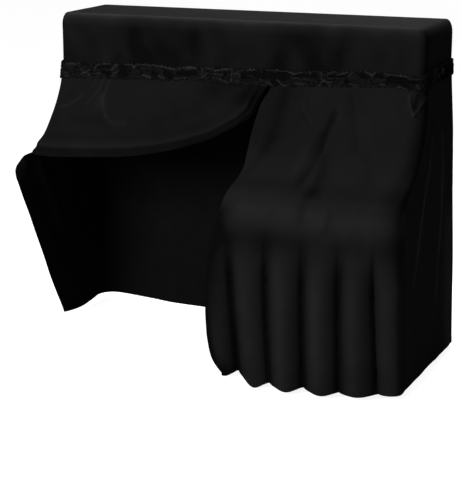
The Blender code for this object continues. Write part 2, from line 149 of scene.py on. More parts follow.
def fromRear(form):
    return madeForm(form.height, form.halfWidth, -form.back, -form.front, form.rearCorner, form.corner)


def tilted(x, height):  # above the band the top climbs a little to the right
    return height + drape["topTilt"] * x * smooth(drape["tiltAbove"], drape["topHeight"], height)


def wallForm(height):  # the straight wall up to the top's edge, and the roll over it
    wall = formAt(np.full_like(height, drape["topHeight"]))
    rollStart = drape["topHeight"] - drape["rollHeight"]
    angle = np.clip((height - rollStart) / drape["rollHeight"], 0, 1) * pi / 2
    inset = drape["edgeRoll"] * (1 - np.cos(angle))
    rolled = np.where(height > rollStart, rollStart + drape["rollHeight"] * np.sin(angle), height)
    front, back, corner = wall.front + inset, wall.back - inset, wall.corner - inset
    return madeForm(rolled, wall.halfWidth - inset, front, back, corner, corner), angle


# A point of the outline and its outward direction, by the run from the front's middle
def outline(form, run):
    side = np.where(run >= 0, 1.0, -1.0)
    run = np.abs(run)
    turn = np.clip((run - form.cornerStart) / form.corner, 0, pi / 2)
    past = np.maximum(run - form.cornerStart - form.corner * pi / 2, 0)
    x = np.where(run < form.cornerStart, run, form.cornerStart + form.corner * np.sin(turn))
    y = form.front + form.corner * (1 - np.cos(turn)) + past
    return side * x, y, side * np.sin(turn), -np.cos(turn)


def rearOutline(form, run):
    x, y, outX, outY = outline(fromRear(form), run)
    return -x, -y, -outX, -outY


def wallRun(form, station):  # station is -1 to 1 between the corners, and to 2 at the seam past each
    past = np.clip(np.abs(station) - 1, 0, 1) * (form.seamRun - form.cornerStart)
    return np.sign(station) * (np.minimum(np.abs(station), 1) * form.cornerStart + past)


band = {
    "middle": 1.085,
    "riseRight": 0.037,
    "riseRear": 0.027,
    "halfHeight": 0.034,
    "narrowing": 0.005,
    "calmBelow": (0.004, 0.050),
}


def bandMiddle(x, y):
    return band["middle"] + band["riseRight"] * x + band["riseRear"] * (y + drape["topDepth"])


def bandHalfHeight(x):
    return band["halfHeight"] - band["narrowing"] * x


def skirtTop(x, y):
    return bandMiddle(x, y) - drape["seamGap"] / 2


def belowBand(x, y, height):
    return smooth(*band["calmBelow"], bandMiddle(x, y) - bandHalfHeight(x) - height)


def toStretch(x, height, x0, h0, x1, h1):  # distance to a straight stretch, and the share of the way along it
    run, rise = x1 - x0, h1 - h0
    share = np.clip(((x - x0) * run + (height - h0) * rise) / (run * run + rise * rise), 0, 1)
    return np.hypot(x - x0 - share * run, height - h0 - share * rise), share


def creased(creases, x, height):  # each crease is its depth, negative for a ridge, its width and its points
    out = np.zeros_like(x)
    for depth, width, *points in creases:
        far = np.min([toStretch(x, height, *a, *b)[0] for a, b in zip(points, points[1:])], axis=0)
        out -= depth * bump(far, width)
    return out


def softWaves(x, height, seed, size, stretch=1.0, count=22):  # smooth unevenness, about -1 to 1
    random = np.random.default_rng(seed)
    out = np.zeros_like(x)
    for _ in range(count):
        angle, phase, scale = random.uniform(0, 2 * pi, 2).tolist() + [random.uniform(*drape["waveSizes"])]
        k = 2 * pi / (size * scale)
        out += np.sin(k * (x * np.cos(angle) + height * np.sin(angle) / stretch) + phase)
    return out / np.sqrt(count)


def spread(count, start=(), end=()):  # shares from 0 to 1, with extra ones near the ends
    shares = np.linspace(0, 1, count + 1)
    return np.unique(np.concatenate([shares, start, 1 - np.array(end)]))


# Materials
velvetLooks = {
    "colour": 0.0063,
    "paintedShadeShare": 0.3,  # how dark the darkest painted shade is, as a share of the colour
    "paintedHighlightShare": 2.4,  # and how light the strongest painted highlight is, on a sharp ridge
    "roughness": 0.85,
    "specular": 0.0,
    "sheen": 0.0,
    "sheenRoughness": 0.45,
    "pileSize": 900,
    "pileDepth": 0.0003,
    "pileRelief": 0.6,
}
pileNoises = {
    "pile": {"Detail": 2.0},
    "patches": {"Scale": 9.0, "Detail": 3.0, "Roughness": 0.55, "Distortion": 0.6},
    "strokes": {"Scale": 60.0, "Detail": 3.0},
}
# how much each noise adds to the shade, and the strokes to the height
pileShares = {"base": 0.30, "patches": 0.20, "strokes": 0.10, "pile": 0.10, "strokeHeight": 0.8}
backingLooks = {
    "colour": 0.002,
    "darker": 0.7,
    "lighter": 1.4,
    "cloudSize": 14.0,
    "roughness": 1.0,
    "specular": 0.05,
    "ribSize": 480,
    "ribBend": 1.0,
    "ribDepth": 0.0002,
}


def addObject(name, data):
    made = bpy.data.objects.new(name, data)
    bpy.context.scene.collection.objects.link(made)
    return made


def setInputs(node, values):
    for name, value in values.items():
        node.inputs[name].default_value = value


def socket(group, name, inOut):
    group.interface.new_socket(name=name, in_out=inOut, socket_type="NodeSocketFloat")


def link(tree, fromNode, output, toNode, inputName):
    tree.links.new(fromNode.outputs[output], toNode.inputs[inputName])


def mathNode(tree, operation, *values):
    node = tree.nodes.new("ShaderNodeMath")
    node.operation = operation
    for i, value in enumerate(values):
        if isinstance(value, (int, float)):
            node.inputs[i].default_value = value
        else:
            tree.links.new(value, node.inputs[i])
    return node.outputs[0]


def pileAndPaintedShadeGroup():  # short velvet pile: its random tone less the painted shade, from 0 (darkest painted shade) to 1, and a fine height
    group = bpy.data.node_groups.new("pileToneAndPaintedShade", "ShaderNodeTree")
    for name, inOut in (("Pile Size", "INPUT"), ("Painted Shade And Tone", "INPUT"), ("Shade", "OUTPUT"), ("Height", "OUTPUT")):
        socket(group, name, inOut)
    inputs = group.nodes.new("NodeGroupInput")
    outputs = group.nodes.new("NodeGroupOutput")
    place = group.nodes.new("ShaderNodeTexCoord")
    noise = {}
    for name, values in pileNoises.items():
        node = group.nodes.new("ShaderNodeTexNoise")
        setInputs(node, values)
        link(group, place, "Object", node, "Vector")
        noise[name] = node
    link(group, inputs, "Pile Size", noise["pile"], "Scale")
    shade = pileShares["base"]
    for name in ("patches", "strokes", "pile"):
        shade = mathNode(group, "MULTIPLY_ADD", noise[name].outputs["Fac"], pileShares[name], shade)
    # the painted shade and tone from the mesh is taken off the pile's random tone
    shade = mathNode(group, "SUBTRACT", shade, inputs.outputs["Painted Shade And Tone"])
    clamped = group.nodes.new("ShaderNodeClamp")
    group.links.new(shade, clamped.inputs["Value"])
    link(group, clamped, "Result", outputs, "Shade")
    strokes, pile = noise["strokes"].outputs["Fac"], noise["pile"].outputs["Fac"]
    height = mathNode(group, "MULTIPLY_ADD", strokes, pileShares["strokeHeight"], pile)
    group.links.new(height, outputs.inputs["Height"])
    return group


def newMaterial(name, looks):
    material = bpy.data.materials.new(name)
    material.use_nodes = True
    tree = material.node_tree
    shader = tree.nodes["Principled BSDF"]
    setInputs(shader, {"Roughness": looks["roughness"], "Specular IOR Level": looks["specular"]})
    return material, tree, shader


def velvetMaterial(name, pile, looks):
    material, tree, shader = newMaterial(name, looks)
    setInputs(shader, {"Sheen Weight": looks["sheen"], "Sheen Roughness": looks["sheenRoughness"]})
    # painted shade and painted highlight from the mesh, with some random tone, set the colour through the
    # ramp
    paintedShadeAndTone = tree.nodes.new("ShaderNodeAttribute")
    paintedShadeAndTone.attribute_name = "paintedShadeAndTone"
    group = tree.nodes.new("ShaderNodeGroup")
    group.node_tree = pile
    group.inputs["Pile Size"].default_value = looks["pileSize"]
    link(tree, paintedShadeAndTone, "Fac", group, "Painted Shade And Tone")
    ramp = tree.nodes.new("ShaderNodeValToRGB")
    ramp.color_ramp.elements.new(0.5)
    for stop, share in zip(ramp.color_ramp.elements, (looks["paintedShadeShare"], 1.0, looks["paintedHighlightShare"])):
        stop.color = (looks["colour"] * share,) * 3 + (1,)
    link(tree, group, "Shade", ramp, "Fac")
    link(tree, ramp, "Color", shader, "Base Color")
    relief = tree.nodes.new("ShaderNodeBump")
    setInputs(relief, {"Strength": looks["pileRelief"], "Distance": looks["pileDepth"]})
    link(tree, group, "Height", relief, "Height")
    link(tree, relief, "Normal", shader, "Normal")
    return material


def backingMaterial(looks):  # the knitted back of the velvet, with fine ribs
    material, tree, shader = newMaterial("knittedBacking", looks)
    place = tree.nodes.new("ShaderNodeTexCoord")
    ribs = tree.nodes.new("ShaderNodeTexWave")
    setInputs(ribs, {"Scale": looks["ribSize"], "Distortion": looks["ribBend"]})
    link(tree, place, "Object", ribs, "Vector")
    cloudy = tree.nodes.new("ShaderNodeTexNoise")
    setInputs(cloudy, {"Scale": looks["cloudSize"]})
    link(tree, place, "Object", cloudy, "Vector")
    ramp = tree.nodes.new("ShaderNodeValToRGB")
    for stop, share in zip(ramp.color_ramp.elements, (looks["darker"], looks["lighter"])):
        stop.color = (looks["colour"] * share,) * 3 + (1,)
    link(tree, cloudy, "Fac", ramp, "Fac")
    link(tree, ramp, "Color", shader, "Base Color")
    relief = tree.nodes.new("ShaderNodeBump")
    setInputs(relief, {"Distance": looks["ribDepth"]})
    link(tree, ribs, "Fac", relief, "Height")
    link(tree, relief, "Normal", shader, "Normal")
    return material


pile = pileAndPaintedShadeGroup()
velvet = velvetMaterial("blackVelvet", pile, velvetLooks)
ruched = velvetMaterial("ruchedVelvet", pile, velvetLooks)
backing = backingMaterial(backingLooks)
print("materials made")


# One sheet of cloth on a grid: point(station, row) gives x, y, height and the painted shade and tone for
# whole arrays
def newSheet(name, across, up, point, material=velvet, closed=False):
    station, row = np.meshgrid(across, up)
    x, y, height, paintedShadeAndTone = point(station, row)
    places = np.stack([x + origin[0], y + origin[1], height + origin[2]], axis=-1).reshape(-1, 3)
    paintedShadeAndTone = np.broadcast_to(paintedShadeAndTone, x.shape).reshape(-1)
    count, rows = len(across), len(up)
    grid = np.arange(count * rows).reshape(rows, count)
    if closed:
        places = places.reshape(rows, count, 3)[:, :-1].reshape(-1, 3)
        paintedShadeAndTone = paintedShadeAndTone.reshape(rows, count)[:, :-1].reshape(-1)
        grid = np.arange((count - 1) * rows).reshape(rows, count - 1)
        grid = np.concatenate([grid, grid[:, :1]], axis=1)
    faces = np.stack([grid[:-1, :-1], grid[:-1, 1:], grid[1:, 1:], grid[1:, :-1]], axis=-1).reshape(-1, 4)
    mesh = bpy.data.meshes.new(name)
    mesh.from_pydata(places.tolist(), [], faces.tolist())
    attribute = mesh.attributes.new("paintedShadeAndTone", "FLOAT", "POINT")
    attribute.data.foreach_set("value", paintedShadeAndTone.astype(np.float32))
    piece = addObject(name, mesh)
    for each in (material, backing):
        mesh.materials.append(each)
    cloth = piece.modifiers.new("Cloth", "SOLIDIFY")
    cloth.thickness = drape["thickness"]
    cloth.offset = -1
    cloth.use_even_offset = True
    cloth.material_offset = 1
    bpy.ops.object.select_all(action="DESELECT")
    bpy.context.view_layer.objects.active = piece
    piece.select_set(True)
    bpy.ops.object.modifier_apply(modifier="Cloth")
    bpy.ops.object.shade_smooth_by_angle(angle=drape["smoothAngle"])
    piece.select_set(False)
    return piece


def fitPiece(piece, node, cut):
    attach(piece, "root")
    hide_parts(node)
    print(f"{piece.name}: {sum(len(face.vertices) - 2 for face in piece.data.polygons)} triangles")


# The top
topCloth = {
    "flat": (1.490, 0.322), "area": 0.476, "held": "laid",
    "columns": 170, "rows": 38,
    "nearSideSeams": (0.001, 0.002, 0.004),
    "nearLongSeams": (0.004, 0.009, 0.016),
    "unevenness": 0.0006,
    "waves": (11, 0.16),  # seed and size, and in most other cloths how much longer they are upwards
    "calmAtSeam": 0.03,
    # painted light: the top is painted lighter towards the right
    "rightPaintedShade": -0.08,
    "rightSpan": (0.1, 0.7),
}


def topPoint(station, row):
    halfWidth = drapedForm.halfWidth[-1] - drape["edgeRoll"] - drape["seamGap"]
    front = -drape["topDepth"] + drape["edgeRoll"] + drape["seamGap"]
    back = -drape["edgeRoll"] - drape["seamGap"]
    x = halfWidth * (2 * station - 1)
    y = front + (back - front) * row
    toEdge = np.minimum(halfWidth - np.abs(x), np.minimum(y - front, back - y))
    inner = smooth(0, topCloth["calmAtSeam"], toEdge)
    height = drape["topHeight"] + topCloth["unevenness"] * softWaves(x, y, *topCloth["waves"]) * inner
    height -= dipAt(toEdge)
    # the last value is painted light, lighter towards the right
    return x, y, height + drape["topTilt"] * x, topCloth["rightPaintedShade"] * smooth(*topCloth["rightSpan"], x)


# The fascia: two walls that turn the corners, and two side strips between them
fasciaCloth = {
    "front": {"flat": (1.64, 0.225), "area": 0.359, "held": "draped", "columns": 260},
    "back": {"flat": (1.64, 0.225), "area": 0.344, "held": "draped", "columns": 200},
    "right": {"flat": (0.29, 0.2), "area": 0.056, "held": "draped"},
    "left": {"flat": (0.29, 0.25), "area": 0.07, "held": "draped"},
    "stripColumns": 48,
    "nearSeams": (0.006, 0.012, 0.02),
    "wallRows": 26,
    "rollRows": 19,
    "wallShare": 0.7,  # of the way up the cloth, where the roll over the edge starts
    "calmAtBand": (0.045, 0.09),
    "calmAtSeam": 0.05,
    "unevenness": 0.0007,
    "wallWaves": (0.15, 2.0),
    "stripWaves": (0.12, 1.5),
    "patchWaves": (0.1, 1.6),
    # painted shade and light of the fascia: darker as a whole, lighter towards the right, darker near the
    # band and in the dents, a painted highlight on the roll over the edge
    "paintedShadeAndTone": 0.22,
    "paintedShadeAcross": -0.09,
    "lowPaintedShade": 0.06,
    "lowSpan": (1.26, 1.15),
    "rollPaintedHighlight": 0.42,
    "rollFade": 0.2,
    "rollFadeSpan": (0.0, 0.6),
    # soft shallow dents of the front, with painted shade in them
    "dents": [
        (0.0012, 0.046, (-0.44, 1.29), (-0.425, 1.1)),
        (0.0008, 0.065, (-0.27, 1.29), (-0.345, 1.1)),
        (0.0008, 0.06, (-0.135, 1.29), (-0.225, 1.1)),
        (0.001, 0.05, (0.215, 1.29), (0.19, 1.1)),
        (0.001, 0.05, (0.31, 1.29), (0.34, 1.1)),
        (0.0008, 0.04, (0.46, 1.28), (0.425, 1.12)),
    ],
    "dentPaintedShade": 170,
    "patchToneAndPaintedShade": 0.04,
    "patches": [(-0.37, 0.07, 0.08), (-0.03, 0.08, 0.04), (0.36, 0.17, 0.08)],  # patches of painted shade: place, width and how dark
}


def fasciaHeights(row, low):
    high = drape["topHeight"] - drape["rollHeight"]
    share = fasciaCloth["wallShare"]
    rolled = high + drape["rollHeight"] * (row - share) / (1 - share)
    return np.where(row < share, low + (high - low) * row / share, rolled)


def fasciaWall(wallOutline, dents, patches, seed):
    def point(station, row):
        level = formAt(np.full_like(row, drape["topHeight"]))
        placeX, placeY, _, _ = wallOutline(level, wallRun(level, station))
        height = fasciaHeights(row, bandMiddle(placeX, placeY) + drape["seamGap"] / 2)
        form, angle = wallForm(height)
        run = wallRun(form, station)
        x, y, outX, outY = wallOutline(form, run)
        toSeam = level.seamRun - np.abs(wallRun(level, station))
        toBand = smooth(*fasciaCloth["calmAtBand"], height - bandMiddle(placeX, placeY))
        dented = creased(dents, x, height)
        out = dented + fasciaCloth["unevenness"] * softWaves(run, height, seed, *fasciaCloth["wallWaves"])
        out *= toBand * smooth(0, fasciaCloth["calmAtSeam"], toSeam) * np.cos(angle)
        out -= dipAt(toSeam)
        rim = dipAt((pi / 2 - angle) * drape["edgeRoll"]) * (angle > 0)
        # painted shade and light: darker as a whole, lighter to the right, darker near the band, in the dents
        # and patches, lighter on the roll; the patch waves add a random tone
        paintedShadeAndTone = fasciaCloth["paintedShadeAndTone"] + fasciaCloth["paintedShadeAcross"] * x
        paintedShadeAndTone += fasciaCloth["lowPaintedShade"] * smooth(*fasciaCloth["lowSpan"], height)
        paintedShadeAndTone -= dented * fasciaCloth["dentPaintedShade"]
        paintedShadeAndTone += fasciaCloth["patchToneAndPaintedShade"] * softWaves(x, height, seed + 5, *fasciaCloth["patchWaves"])
        paintedShadeAndTone += sum(dark * bump(x - place, width) for place, width, dark in patches)
        faded = 1 - fasciaCloth["rollFade"] * smooth(*fasciaCloth["rollFadeSpan"], x)
        paintedShadeAndTone = paintedShadeAndTone * np.cos(angle) - fasciaCloth["rollPaintedHighlight"] * np.sin(angle) * faded
        return x + outX * out, y + outY * out, tilted(x, form.height) - rim, paintedShadeAndTone
    return point


def fasciaSide(side):
    def point(station, row):
        share = station if side > 0 else 1 - station
        level = formAt(np.full_like(row, drape["topHeight"]))
        front, back = level.frontSeam + drape["seamGap"], level.backSeam - drape["seamGap"]
        y = front + (back - front) * share
        height = fasciaHeights(row, bandMiddle(side * level.halfWidth, y) + drape["seamGap"] / 2)
        form, angle = wallForm(height)
        toSeam = np.minimum(share, 1 - share) * (back - front)
        rolledFront, rolledBack = form.frontSeam + drape["seamGap"], form.backSeam - drape["seamGap"]
        y = rolledFront + (rolledBack - rolledFront) * share
        waves = softWaves(y, height, 5 + side, *fasciaCloth["stripWaves"])
        out = fasciaCloth["unevenness"] * waves * np.cos(angle)
        toBand = height - bandMiddle(side * form.halfWidth, y)
        out *= smooth(0, fasciaCloth["calmAtSeam"], toSeam) * smooth(*fasciaCloth["calmAtBand"], toBand)
        out -= dipAt(toSeam)
        rim = dipAt((pi / 2 - angle) * drape["edgeRoll"]) * (angle > 0)
        x = side * (form.halfWidth + out)
        # the side strips get the sides' painted light
        return x, y, tilted(x, form.height) - rim, sideCloth["paintedShadeAndTone"]
    return point


# The ruched band. Its creases run along it in metres and from -1 to 1 across it
bandCloth = {
    "flat": (4.05, 0.074), "area": 0.291, "held": "gathered",
    "frontColumns": 740,
    "otherColumns": 520,
    "rows": 32,
    "standoff": 0.0036,
    "puff": 0.0025,
    "lift": 0.003,
    "liftLoss": 0.5,  # between two gathers
    "pitch": 0.075,
    "slant": 0.9,
    "gatherPitch": 0.46,
    "gatherStart": -0.62,
    "gatherReach": 0.05,
    "calmPuff": 0.35,  # the share of the puff that is left at a gather
    "frill": 0.07,
    "frillWaves": (3, 2.2),
    "deepest": -0.0045,
    "rim": 0.0012,
    # painted shading: the frilled edges painted lighter, the band darker as a whole, its gathers painted as
    # highlights and its recesses as shade, the sides and rear painted lighter
    "rimPaintedHighlight": -0.10,
    "frontReach": (-0.30, -0.35),
    "paintedShadeAndTone": 0.40,
    "creasePaintedShading": 160,
    "sidePaintedShading": -0.22,
    "unevenness": 0.0014,
    "waves": (3, 0.034),
    "sharpness": 1.5,
    "noiseHeight": 0.11,
    "frontShare": 0.405,
}
# creases of the sides and the rear, where the photo shows nothing
seededLooks = {
    "seed": 8,
    "count": 90,
    "start": 0.80,
    "endGap": 0.06,
    "across": 0.7,
    "run": (0.008, 0.045),
    "rise": 0.9,
    "recessShare": 0.35,
    "recess": -4.0,
    "height": (2.5, 4.5),
    "width": (3, 4.5),
    "recessWidth": (6, 10),
}
# where the upper and the lower edge run along the front
bandEdges = columns("x upper lower", [
    (-0.8, 1.0, -0.7), (-0.65, 1.0, -0.62), (-0.55, 1.05, -0.6), (-0.45, 1.08, -0.62),
    (-0.37, 1.05, -0.62), (-0.3, 0.95, -0.66), (-0.26, 0.8, -0.66), (-0.22, 0.86, -0.56),
    (-0.17, 1.0, -0.56), (-0.12, 0.92, -0.62), (-0.05, 0.9, -0.8), (0.0, 0.86, -0.94),
    (0.05, 0.86, -0.88), (0.1, 0.9, -0.98), (0.15, 0.84, -1.06), (0.2, 0.84, -1.0),
    (0.25, 0.68, -1.06), (0.28, 0.66, -0.98), (0.32, 0.82, -0.95), (0.4, 0.86, -0.95),
    (0.5, 0.92, -0.9), (0.56, 1.0, -0.88), (0.6, 1.0, -0.85), (0.65, 0.86, -0.88),
    (0.7, 0.66, -1.12), (0.74, 0.6, -1.18), (0.78, 0.8, -1.0),
])
bandCreases = [  # height, width, points; a negative height is a recess
    (3.5, 4, (-0.735, 0.86), (-0.68, 0.88)),
    (3.0, 3, (-0.76, -0.12), (-0.722, -0.1)),
    (3.0, 3, (-0.76, -0.46), (-0.722, -0.42)),
    (3.5, 3, (-0.668, 0.3), (-0.629, -0.3)),
    (3.5, 3, (-0.668, -0.3), (-0.629, 0.28)),
    (4.5, 4, (-0.61, 0.5), (-0.59, 0.83), (-0.558, 0.93), (-0.537, 1.04)),
    (3.0, 3, (-0.61, 0.28), (-0.588, 0.26)),
    (3.5, 3, (-0.61, -0.14), (-0.574, -0.12)),
    (4.0, 3, (-0.534, 0.28), (-0.505, 1.04)),
    (3.0, 3, (-0.526, 0.26), (-0.497, 0.9)),
    (3.0, 4, (-0.532, -0.49), (-0.516, -0.1), (-0.497, 0.22)),
    (3.5, 4, (-0.47, 1.0), (-0.44, 0.92), (-0.421, 0.72)),
    (4.5, 4, (-0.426, 0.66), (-0.389, 1.1)),
    (4.0, 4, (-0.389, 1.08), (-0.353, 0.95), (-0.316, 0.93), (-0.28, 0.7), (-0.25, 0.54)),
    (4.0, 4, (-0.39, -0.12), (-0.353, -0.42)),
    (4.0, 4, (-0.32, -0.14), (-0.293, -0.5)),
    (3.0, 4, (-0.246, 0.54), (-0.222, 0.66), (-0.18, 0.9), (-0.154, 0.72)),
    (3.0, 8, (-0.19, 0.78), (-0.165, 0.8)),
    (2.5, 4, (-0.246, -0.46), (-0.205, -0.4), (-0.18, -0.3)),
    (3.5, 4, (-0.127, 0.4), (-0.127, 1.1)),
    (3.5, 3, (-0.136, 0.16), (-0.106, -0.34)),
    (3.5, 3, (-0.106, 0.16), (-0.136, -0.34)),
    (3.0, 4, (-0.11, 0.7), (-0.08, 0.86)),
    (5.0, 4, (-0.072, 0.56), (-0.045, 0.7), (-0.002, 0.86)),
    (3.0, 3, (-0.075, 0.15), (-0.038, 0.15)),
    (3.0, 4, (-0.08, -0.28), (-0.045, -0.42), (-0.018, -0.68), (-0.004, -0.48)),
    (4.0, 3, (-0.001, 0.56), (-0.001, -0.6)),
    (2.5, 4, (0.01, 0.16), (0.022, 0.34), (0.036, 0.1), (0.022, -0.2), (0.01, 0.16)),
    (3.0, 3, (0.0, -0.5), (0.03, -0.62)),
    (4.5, 4, (0.062, 0.72), (0.097, 0.78)),
    (4.0, 3, (0.14, 0.8), (0.2, 0.8), (0.236, 0.68), (0.262, 0.38)),
    (4.0, 4, (0.116, -0.24), (0.136, -0.5), (0.166, -0.86)),
    (4.0, 4, (0.19, -0.3), (0.205, -0.7), (0.23, -1.04)),
    (4.0, 4, (0.24, 0.66), (0.266, 0.38), (0.295, 0.8)),
    (2.5, 4, (0.262, -0.1), (0.31, -0.06)),
    (2.5, 4, (0.262, -0.62), (0.3, -0.68)),
    (3.5, 6, (0.324, 0.9), (0.324, 0.5)),
    (3.5, 3, (0.369, 1.0), (0.37, -0.1)),
    (4.0, 3, (0.362, -0.8), (0.38, -0.16), (0.402, -0.8)),
    (3.5, 3, (0.384, -0.3), (0.412, -0.46)),
    (3.0, 4, (0.393, 0.5), (0.424, 0.8)),
    (5.0, 4, (0.427, 0.36), (0.452, 0.58), (0.47, 0.76)),
    (2.5, 3, (0.395, 0.06), (0.462, 0.06)),
    (3.0, 4, (0.478, 0.3), (0.49, 0.66)),
    (3.0, 4, (0.476, -0.5), (0.51, -0.74)),
    (4.5, 4, (0.554, 0.84), (0.572, 0.5), (0.584, 0.84)),
    (3.0, 4, (0.525, 0.92), (0.552, 0.94)),
    (2.5, 3, (0.59, 0.08), (0.622, 0.02)),
    (4.0, 4, (0.598, -0.5), (0.622, -0.54)),
    (4.5, 4, (0.614, 0.8), (0.645, 0.58), (0.677, 0.58), (0.71, 0.48)),
    (4.0, 4, (0.672, -0.72), (0.706, -1.06)),
    (4.0, 4, (0.712, 0.16), (0.748, 0.18)),
    (4.0, 4, (0.742, -0.5), (0.752, -0.9)),
    (-3.5, 7, (-0.57, 0.1), (-0.54, -0.1)),
    (-3.0, 6, (-0.59, 0.62), (-0.54, 0.74)),
    (-4.0, 8, (-0.488, 0.62), (-0.468, 0.56)),
    (-4.0, 8, (-0.486, -0.04), (-0.466, -0.1)),
    (-3.5, 5, (-0.415, 0.7), (-0.4, 0.92)),
    (-5.0, 9, (-0.34, 0.1), (-0.33, -0.1)),
    (-5.0, 10, (-0.284, 0.2), (-0.264, -0.3)),
    (-3.0, 8, (-0.23, 0.1), (-0.16, 0.2)),
    (-3.5, 5, (-0.065, 0.92), (-0.01, 1.02)),
    (-3.5, 8, (0.045, 0.2), (0.056, -0.1)),
    (-4.0, 5, (0.07, 0.42), (0.094, 0.42)),
    (-5.0, 9, (0.104, 0.2), (0.12, 0.0)),
    (-5.0, 11, (0.14, 0.3), (0.18, 0.1), (0.225, 0.2)),
    (-4.0, 6, (0.175, -0.62), (0.19, -0.8)),
    (-3.0, 7, (0.276, 0.24), (0.35, 0.3)),
    (-4.0, 5, (0.4, 0.26), (0.46, 0.34)),
    (-3.5, 6, (0.468, -0.2), (0.474, -0.5)),
    (-4.0, 8, (0.53, 0.46), (0.545, 0.3)),
    (-4.0, 8, (0.59, 0.44), (0.606, 0.4)),
    (-5.0, 11, (0.64, 0.12), (0.7, -0.1)),
    (-4.0, 8, (0.69, -0.4), (0.705, -0.66)),
    (-4.0, 5, (0.715, -0.12), (0.748, -0.14)),
]


def bandStations(form):  # where the band's corners begin and end, by the way from the front left corner
    flat = 2 * form.cornerStart
    quarter = form.corner * pi / 2
    depth = form.back - form.front - 2 * form.corner
    lengths = [flat, quarter, depth, quarter, flat, quarter, depth, quarter]
    return np.concatenate([[0], np.cumsum(lengths)])


def bandPlace(form, travel, marks):  # travel is measured on the middle line, and marks are its corners
    kinds = len(marks) - 1
    kind = np.clip(np.searchsorted(marks, travel, side="right") - 1, 0, kinds - 1)
    share = (travel - marks[kind]) / (marks[kind + 1] - marks[kind])
    quarter = form.corner * pi / 2
    frontY, backY = form.front + form.corner, form.back - form.corner
    flat = (2 * share - 1) * form.cornerStart
    sideY = frontY + (backY - frontY) * share
    one, zero = np.ones_like(share), np.zeros_like(share)
    options = [
        outline(form, flat),
        outline(form, form.cornerStart + quarter * share),
        (form.halfWidth * one, sideY, one, zero),
        rearOutline(form, -(form.cornerStart + quarter * (1 - share))),
        rearOutline(form, flat),
        rearOutline(form, form.cornerStart + quarter * share),
        (-form.halfWidth * one, frontY + backY - sideY, -one, zero),
        outline(form, -(form.cornerStart + quarter * (1 - share))),
    ]
    return [np.choose(kind, [option[i] for option in options]) for i in range(4)]


def seededCreases(end):
    looks = seededLooks
    random = np.random.default_rng(looks["seed"])
    for _ in range(looks["count"]):
        along = random.uniform(looks["start"], end - looks["endGap"])
        across = random.uniform(-looks["across"], looks["across"])
        run, rise = random.uniform(*looks["run"]), random.uniform(-looks["rise"], looks["rise"])
        recess = random.uniform() < looks["recessShare"]
        yield (
            looks["recess"] if recess else random.uniform(*looks["height"]),
            random.uniform(*looks["recessWidth" if recess else "width"]),
            (along, across), (along + run, np.clip(across + rise, -1, 1)),
        )


def bandPoint(station, row):
    level = formAt(np.array([band["middle"]]))
    corner = level.corner[0]
    level = madeForm(level.height[0], level.halfWidth[0], level.front[0], level.back[0], corner, corner)
    marks = bandStations(level)
    travel = station * marks[-1]
    ruches = round(marks[-1] / bandCloth["pitch"])
    wave = station * ruches * 2 * pi
    across = 2 * row - 1
    middle = madeForm(level.height, *(np.full_like(station, size) for size in (
        level.halfWidth, level.front, level.back, corner, corner)))
    placeX, placeY, _, _ = bandPlace(middle, travel, marks)
    along = travel - level.cornerStart
    alongX = np.where(along > marks[-1] - 2 * level.cornerStart, along - marks[-1], along)
    onFront = smooth(*bandCloth["frontReach"], placeY)
    upper = 1 + (through(bandEdges.x, bandEdges.upper, placeX) - 1) * onFront
    lower = -1 + (through(bandEdges.x, bandEdges.lower, placeX) + 1) * onFront
    place = lower + (upper - lower) * (across + 1) / 2
    waves, swing = bandCloth["frillWaves"]
    frill = bandCloth["frill"] * np.sin(waves * wave + swing * np.sin(wave)) * np.abs(across) ** 3
    height = bandMiddle(placeX, placeY) + bandHalfHeight(placeX) * (place + frill)
    x, y, outX, outY = bandPlace(formAt(height), travel, marks)
    pitch = bandCloth["gatherPitch"]
    toGather = np.abs((alongX - bandCloth["gatherStart"] + pitch / 2) % pitch - pitch / 2)
    openStretch = smooth(0, bandCloth["gatherReach"], toGather)
    calm = bandCloth["calmPuff"]
    puff = bandCloth["puff"] * (1 - across**2) * (calm + (1 - calm) * openStretch)
    out = bandCloth["standoff"] + puff
    lifted = 0.5 + 0.5 * np.sin(wave + bandCloth["slant"] * across)
    out += bandCloth["lift"] * lifted * (1 - bandCloth["liftLoss"] * openStretch)
    seeded = list(seededCreases(marks[-1] - level.cornerStart))
    scale = band["halfHeight"]
    relief = np.zeros_like(station)
    for size, width, *points in bandCreases + seeded:
        ends = [(pointX, pointAcross * scale) for pointX, pointAcross in points]
        far = np.min([toStretch(along, place * scale, *a, *b)[0] for a, b in zip(ends, ends[1:])], axis=0)
        relief += size / 1000 * bump(far, width / 1000)  # the table holds millimetres
    noise = softWaves(alongX, across * bandCloth["noiseHeight"], *bandCloth["waves"])
    relief += bandCloth["unevenness"] * (1 - bandCloth["sharpness"] * np.abs(noise))
    out += np.maximum(relief, bandCloth["deepest"]) + bandCloth["rim"] * np.abs(across) ** 6
    # painted highlight on the gathers and the frilled edges, painted shade in the recesses, the sides and
    # rear painted lighter
    paintedShadeAndTone = bandCloth["paintedShadeAndTone"] - bandCloth["creasePaintedShading"] * relief + bandCloth["rimPaintedHighlight"] * np.abs(across) ** 8
    paintedShadeAndTone += bandCloth["sidePaintedShading"] * (1 - onFront)
    return x + outX * out, y + outY * out, height, paintedShadeAndTone


